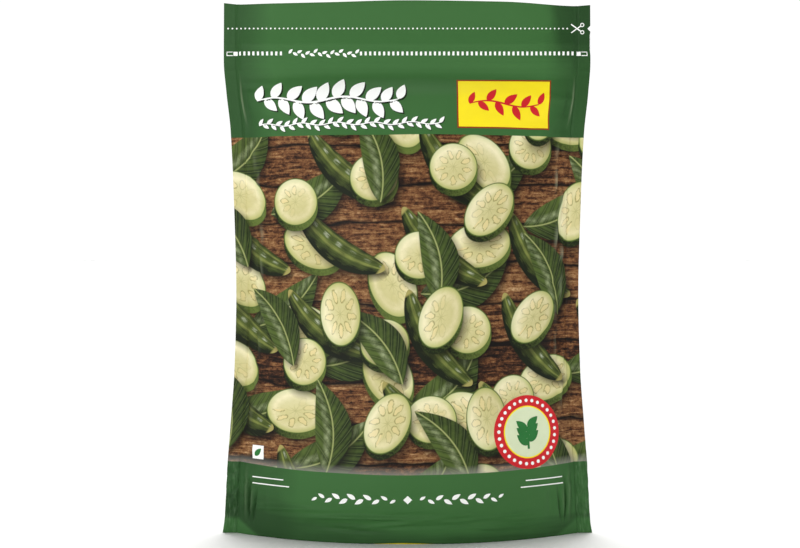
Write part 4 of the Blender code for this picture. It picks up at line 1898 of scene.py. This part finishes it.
@dataclass
class SealMarks(FilmPrinter):
    """The marks that both sides carry at the top: the tear line with its scissors, and the zip's dashes.

    Places are film millimetres, and the tear notch is at the hand's side.
    """

    hand: int
    side: str
    tear_v: float = 274.3
    zip_v: float = 260.6
    dot_pitch: float = 2.34
    dash_pitch: float = 2.49

    def row_of(self, name: str, stamp: Mesh, first: float, last: float, v: float, pitch: float) -> Object:
        """Stamps a white mark at an even pitch along a level line, between two places.

        Args:
            name: the piece's name, which the side's name comes before.
            stamp: the mark.
            first: the place of the row's first mark, counted away from the notch.
            last: where the row ends at the latest.
            v: the row's height.
            pitch: from one mark to the next.

        Returns:
            The printed piece.
        """
        count = int((last - first) / pitch) + 1
        ends = sorted((self.hand * first, self.hand * (first + pitch * (count - 1))))
        path = [(ends[0], v), (ends[1], v)]
        return self.row(f"{self.side}_{name}", stamp, path, count, "white")

    def build(self) -> Pieces:
        """Makes the marks."""
        dot = Flat.ring((0, 0), 0, 0.46, 10)
        yield self.row_of("tear_dots", dot, -97.6, 89.0, self.tear_v, self.dot_pitch)
        yield self.plate(f"{self.side}_scissors", self.scissors(), "white")
        dash = Flat.box((-0.56, -1.02), (0.56, 1.02), Flat.FINE)
        yield self.row_of("zip_dashes_near", dash, -25.0, 91.0, self.zip_v, self.dash_pitch)
        yield self.row_of("zip_dashes_far", dash, -90.6, -67.5, self.zip_v, self.dash_pitch)
        vine = wave((-64.0 if self.hand > 0 else 28.0, self.zip_v), 36.0, 0.5, 3)
        small = Flat.leaf(3.1, 1.5, 3, 7)
        yield self.row(f"{self.side}_zip_vine", small, vine, 17, "white", lean=0.6)
        yield self.plate(f"{self.side}_zip_ends", self.zip_ends(), "white")

    def scissors(self) -> Mesh:
        """Small scissors, open towards the tear line.

        Returns:
            The mesh.
        """
        parts = []
        for up in (-1, 1):
            tip = (self.hand * 89.4, self.tear_v + up * 2.4)
            eye = (self.hand * 95.5, self.tear_v - up * 2.0)
            handle = (eye[0] - self.hand * 0.7, eye[1] + up * 0.5)
            parts.append(Flat.stroke(straight(tip, handle, 8), 0.62))
            parts.append(Flat.ring(eye, 0.65, 1.15, 16))
        return Flat.together(*parts)

    def zip_ends(self) -> Mesh:
        """A block and an open box at each end of the zip.

        Returns:
            The mesh.
        """
        parts = []
        block, box = (92.2, 94.6, -1.1, 1.1), ((95.0, 98.4, 0.75, 1.15), (95.0, 98.4, -1.15, -0.75))
        for hand in (-1, 1):
            for near, far, low, high in (block, *box, (98.0, 98.4, -0.7, 0.7)):
                left, right = sorted((hand * near, hand * far))
                parts.append(Flat.box((left, self.zip_v + low), (right, self.zip_v + high), Flat.FINE))
        return Flat.together(*parts)


class Ornaments(FilmPrinter):
    """Plain ornaments that stand where a pack has its words and its signs. Places are film millimetres."""

    def sprig(self, name: str, stem: list[Point], leaf: Mesh, count: int, ink: str, lean: float,
              thickness: float, taper: float = 0.0, layer: int = 0) -> Pieces:
        """Prints leaves along a stem.

        Args:
            name: the first part of the pieces' names.
            stem: the stem's points.
            leaf: one leaf.
            count: how many leaves there are.
            ink: the ink's name.
            lean: how far the leaves turn off the stem, in radians.
            thickness: the stem's width.
            taper: how much smaller the leaves are at both ends, from 0 to 1.
            layer: how many other marks the sprig lies on.

        Returns:
            The printed pieces.
        """
        yield self.row(f"{name}_leaves", leaf, stem, count, ink, lean, taper, layer)
        line = Flat.stroke(stem, thickness, taper * 2)
        yield self.plate(f"{name}_stem", line, ink, layer + 1)

    def framed(self, name: str, low: Point, high: Point, edge: float, ground: str,
               border: str) -> Pieces:
        """Prints a panel with a border round it."""
        outer = Flat.box((low[0] - edge, low[1] - edge), (high[0] + edge, high[1] + edge))
        yield self.plate(f"{name}_border", outer, border)
        yield self.plate(f"{name}_ground", Flat.box(low, high), ground, 1)

    def rules(self, name: str, lines: Iterable[tuple[float, float, float]], half: float, ink: str,
              layer: int = 0) -> Object:
        """Prints level rules, each given by its left end, its right end and its height."""
        bars = [Flat.box((left, v - half), (right, v + half), Flat.FINE) for left, right, v in lines]
        return self.plate(name, Flat.together(*bars), ink, layer)


@dataclass
class FrontPrint(Ornaments):
    """What is printed on the front over its picture: two sprigs, a panel, a badge, a tile and a footer."""

    panel_low: Point = (27.5, 219.6)
    panel_high: Point = (78.0, 245.3)
    badge: Point = (64.0, 57.5)
    badge_radius: float = 19.6
    beads: int = 29

    def build(self) -> Pieces:
        """Makes the front's ornaments."""
        yield from self.title()
        yield from self.panel()
        yield from self.round_badge()
        yield from self.tile()
        yield from self.footer()

    def title(self) -> Pieces:
        """A bold sprig with a dark shadow, and a slim one under it."""
        bold = (wave((-83.0, 234.8), 78.0, 1.5, 2.0), Flat.leaf(12.0, 6.6, 5, 12), 19, 0.95, 1.1, 0.25)
        slim = (wave((-83.0, 221.4), 100.0, 0.7, 5.0), Flat.leaf(4.6, 2.0, 3, 8), 41, 0.7, 0.55, 0.0)
        for name, ink, away, layer, (path, leaf, count, lean, thickness, taper) in (
                ("title_shadow", "shadow", 0.8, 0, bold), ("title_sprig", "white", 0.0, 1, bold),
                ("subtitle_shadow", "shadow", 0.4, 0, slim), ("subtitle_vine", "white", 0.0, 1, slim)):
            stem = [(x + away, y - away) for x, y in path]
            yield from self.sprig(name, stem, leaf.copy(), count, ink, lean, thickness, taper, layer)

    def panel(self) -> Pieces:
        """A yellow panel with a rust border and a red sprig."""
        (x0, y0), (x1, y1) = self.panel_low, self.panel_high
        yield from self.framed("panel", self.panel_low, self.panel_high, 0.75, "yellow", "rust")
        stem = wave((x0 + 6, (y0 + y1) / 2), x1 - x0 - 12, 1.6, 1.0)
        yield from self.sprig("panel_sprig", stem, Flat.leaf(9.0, 4.2, 5, 10), 9, "red", 0.9, 0.9, 0.2, 2)

    def round_badge(self) -> Pieces:
        """A red ring with white beads round a pale ground with a small plant."""
        centre, radius = self.badge, self.badge_radius
        for name, inner, outer, ink, layer in (("ring", 0.71, 1.0, "red", 0), ("ground", 0, 0.69, "pale", 0),
                                               ("line", 0.68, 0.715, "yellow", 1)):
            ring = Flat.ring(centre, radius * inner, radius * outer)
            yield self.plate(f"badge_{name}", ring, ink, layer)
        bead = Flat.ring((0, 0), 0, 0.95, 14)
        loop = circle(centre, radius * 0.86, self.beads)
        yield self.row("badge_beads", bead, loop, self.beads, "white", layer=1)
        stem = straight((centre[0], centre[1] - radius * 0.46), (centre[0], centre[1] + radius * 0.12), 12)
        leaf = Flat.leaf(8.6, 4.4, 5, 9)
        yield self.row("badge_leaves", leaf, stem[2:], 6, "leaf", 0.85, 0.0, 1)
        yield self.plate("badge_stem", Flat.stroke(stem, 1.3), "leaf", 2)

    def tile(self) -> Pieces:
        """A small white tile with a green leaf."""
        yield self.plate("tile_ground", Flat.box((-85.2, 41.6), (-77.9, 48.9)), "white")
        spot = straight((-83.6, 43.2), (-83.5, 43.3), 3)
        leaf = Flat.leaf(5.8, 2.9, 5, 8)
        yield self.row("tile_leaf", leaf, spot, 1, "leaf", layer=1)

    def footer(self) -> Pieces:
        """Plain rules at both sides, and a long divider in the middle."""
        lines = ((-84.5, -65.0, 31.8), (-84.5, -61.5, 28.4), (61.5, 84.5, 31.8), (58.5, 84.5, 28.4))
        yield self.rules("footer_rules", lines, 0.3, "white")
        leaf = Flat.leaf(5.2, 2.3, 3, 8)
        for name, hand in (("divider_left", -1), ("divider_right", 1)):
            path = straight((hand * 6, 24.0), (hand * 46, 24.0))
            yield self.row(name, leaf, path, 11, "white", lean=0.55, taper=0.35)
        yield self.plate("divider_middle", Flat.ring((0, 24.0), 0, 2.2, 4), "white")


@dataclass
class BackPrint(Ornaments):
    """What is printed on the back: a sprig, a bare ruled table, a yellow panel and a footer."""

    table_low: Point = (-80.0, 62.0)
    table_high: Point = (-8.0, 154.0)
    row_height: float = 7.6
    panel_low: Point = (8.0, 110.0)
    panel_high: Point = (80.0, 154.0)

    def build(self) -> Pieces:
        """Makes the back's ornaments."""
        stem = wave((-50.0, 234.0), 100.0, 1.8, 2.5)
        yield from self.sprig("back_sprig", stem, Flat.leaf(9.6, 4.8, 5, 10), 25, "white", 0.9, 1.0, 0.25)
        yield from self.table()
        yield from self.panel()
        lines = [(8.0, 80.0 - 9 * (i % 3 == 2), 100.0 - 5.2 * i) for i in range(7)]
        yield self.rules("back_rules", lines, 0.3, "white")
        lines = [(hand * 52 - 28, hand * 52 + 28, v) for hand in (-1, 1) for v in (28.0, 31.5)]
        yield self.rules("back_footer", lines, 0.3, "white")
        yield self.plate("back_footer_middle", Flat.ring((0, 29.7), 0, 2.6, 4), "white")

    def table(self) -> Pieces:
        """A white table with green rules and nothing written in it."""
        (x0, y0), (x1, y1) = self.table_low, self.table_high
        yield from self.framed("table", self.table_low, self.table_high, 0.8, "white", "leaf")
        heads = ((x0 + 3, x1 - 3, y1 - 6.0), (x0 + 3, x1 - 3, y1 - 6.9), (x0 + 3, x1 - 3, y0 + 5.0))
        yield self.rules("table_heads", heads, 0.42, "leaf", 2)
        count = int((y1 - y0 - 16) / self.row_height)
        lines = [(x0 + 3 + 4 * (i % 4 == 2), x1 - 3, y1 - 13.0 - self.row_height * i) for i in range(count)]
        yield self.rules("table_rules", lines, 0.17, "leaf", 2)

    def panel(self) -> Pieces:
        """A yellow panel with a green sprig."""
        (x0, y0), (x1, y1) = self.panel_low, self.panel_high
        yield from self.framed("back_panel", self.panel_low, self.panel_high, 0.75, "yellow", "rust")
        stem = wave((x0 + 9, (y0 + y1) / 2), x1 - x0 - 18, 2.4, 1.5)
        leaf = Flat.leaf(11.0, 5.2, 5, 11)
        yield from self.sprig("back_panel_sprig", stem, leaf, 13, "leaf", 0.9, 1.0, 0.2, 2)


@dataclass
class Studio:
    """A wide white paper floor, soft daylight from above, a softbox at the front and the photograph's camera.

    The sky is bright near the horizon and dim above, so it lights upright faces evenly from all sides.
    """

    paper: str = "#FCFCFB"
    floor_radius: float = 14.0
    camera_height: float = 0.156
    camera_distance: float = 0.680
    lens: float = 56.2
    pitch: float = 1.243
    aside: float = -0.0040
    sun_strength: float = 2.75
    sun_angle: float = 28.0
    sun_lean: float = 13.0
    key_watts: float = 9.0
    horizon: float = 1.04
    zenith: float = 0.05
    glow_low: float = 0.22
    glow_high: float = 0.58

    def build(self) -> None:
        """Makes the floor, the lights, the sky and the camera."""
        self.floor()
        self.lights()
        self.sky()
        self.camera()
        bpy.context.scene.view_settings.view_transform = "Standard"

    def floor(self) -> None:
        """The paper floor: one large round sheet."""
        mesh = bpy.data.meshes.new("floor")
        rim = [(self.floor_radius * x, self.floor_radius * y, 0.0) for x, y in circle((0, 0), 1.0, 96)]
        mesh.from_pydata(rim, [], [tuple(reversed(range(len(rim))))])
        material, bench, shader = new_material("floor_paper")
        bench.feed(shader, {"Base Color": self.paper, "Roughness": 0.9, "Specular IOR Level": 0.1})
        add_piece("floor", mesh, material)

    def lights(self) -> None:
        """Soft light from straight above, leaning back a little, and a softbox in front at the left."""
        scene = bpy.context.scene
        above = bpy.data.lights.new("above", "SUN")
        above.energy, above.angle = self.sun_strength, math.radians(self.sun_angle)
        lamp = bpy.data.objects.new("above", above)
        lamp.rotation_euler = (-math.radians(self.sun_lean), 0, 0)
        scene.collection.objects.link(lamp)
        key = bpy.data.lights.new("softbox", "AREA")
        key.shape, key.size, key.size_y, key.energy = "RECTANGLE", 0.8, 0.7, self.key_watts
        lamp = bpy.data.objects.new("softbox", key)
        lamp.location = (-0.75, -1.45, 0.50)
        lamp.rotation_euler = (Vector((0, 0, 0.15)) - lamp.location).to_track_quat("-Z", "Y").to_euler()
        scene.collection.objects.link(lamp)

    def sky(self) -> None:
        """A white horizon under a dim sky."""
        world = bpy.data.worlds.new("sky")
        world.use_nodes = True
        bench = Bench(world.node_tree)
        direction = bench.add("ShaderNodeTexCoord").outputs["Generated"]
        up = bench.add("ShaderNodeSeparateXYZ", (direction,)).outputs[2]
        bench = bench.knowing(z=up, l=self.zenith, h=self.horizon, t=self.glow_high, b=self.glow_low)
        background = world.node_tree.nodes["Background"]
        bench.feed(background, ("#FFFFFF", "l + (h - l) * clamp((t - z) / (t - b))"))
        bpy.context.scene.world = world

    def camera(self) -> None:
        """The camera, straight in front and level with the pouch's middle."""
        data = bpy.data.cameras.new("camera")
        data.lens, data.sensor_width = self.lens, 36.0
        camera = bpy.data.objects.new("camera", data)
        camera.location = (self.aside, -self.camera_distance, self.camera_height)
        camera.rotation_euler = (math.radians(90 - self.pitch), 0, 0)
        bpy.context.scene.collection.objects.link(camera)
        bpy.context.scene.camera = camera


def print_side(panel: FilmPanel, inks: dict[str, Material]) -> None:
    """Prints every mark of one side onto its film.

    Args:
        panel: the side's film.
        inks: the inks by name.
    """
    guide, front = panel.guide(), panel.side is Side.FRONT
    marks = SealMarks(guide, inks, 1 if front else -1, panel.side.name.lower())
    ornaments = FrontPrint(guide, inks) if front else BackPrint(guide, inks)
    for piece in (*marks.build(), *ornaments.build()):
        dress(piece, "printed_film")
    bpy.data.objects.remove(guide)


def main() -> None:
    """Builds the pouch's looks, piece by piece."""
    shape = PouchShape()
    inks = {ink.name: ink.material() for ink in INKS}
    for side in Side:
        panel = FilmPanel(side, shape)
        panel.build(PrintedFilm(side).material())
        print_side(panel, inks)
    gusset = PlainPlastic("gusset_film", "#E9DC2B", "#DCCB22", 0.36, 12.0)
    BaseGusset(shape).build(gusset.material())
    zip_plastic = PlainPlastic("zip_plastic", "#E4E8E2", "#D6DCD6", 0.42, 8.0, clouding=0.3)
    PressZip(shape).build(zip_plastic.material())
    for kind, slot in (("whole", "gourd_skin"), ("half", "gourd_flesh")):
        finish = GourdFinish(f"frozen_{slot}").material()
        gourds = Gourds(whole=kind == "whole")
        nodes = sorted(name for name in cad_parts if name.startswith(f"gourd_{kind}"))
        for number, node in enumerate(nodes):
            gourds.build(node, number, finish, slot)
    Studio().build()


if __name__ == "__main__":
    logging.basicConfig(level=logging.INFO, format="%(name)s %(message)s")
    main()
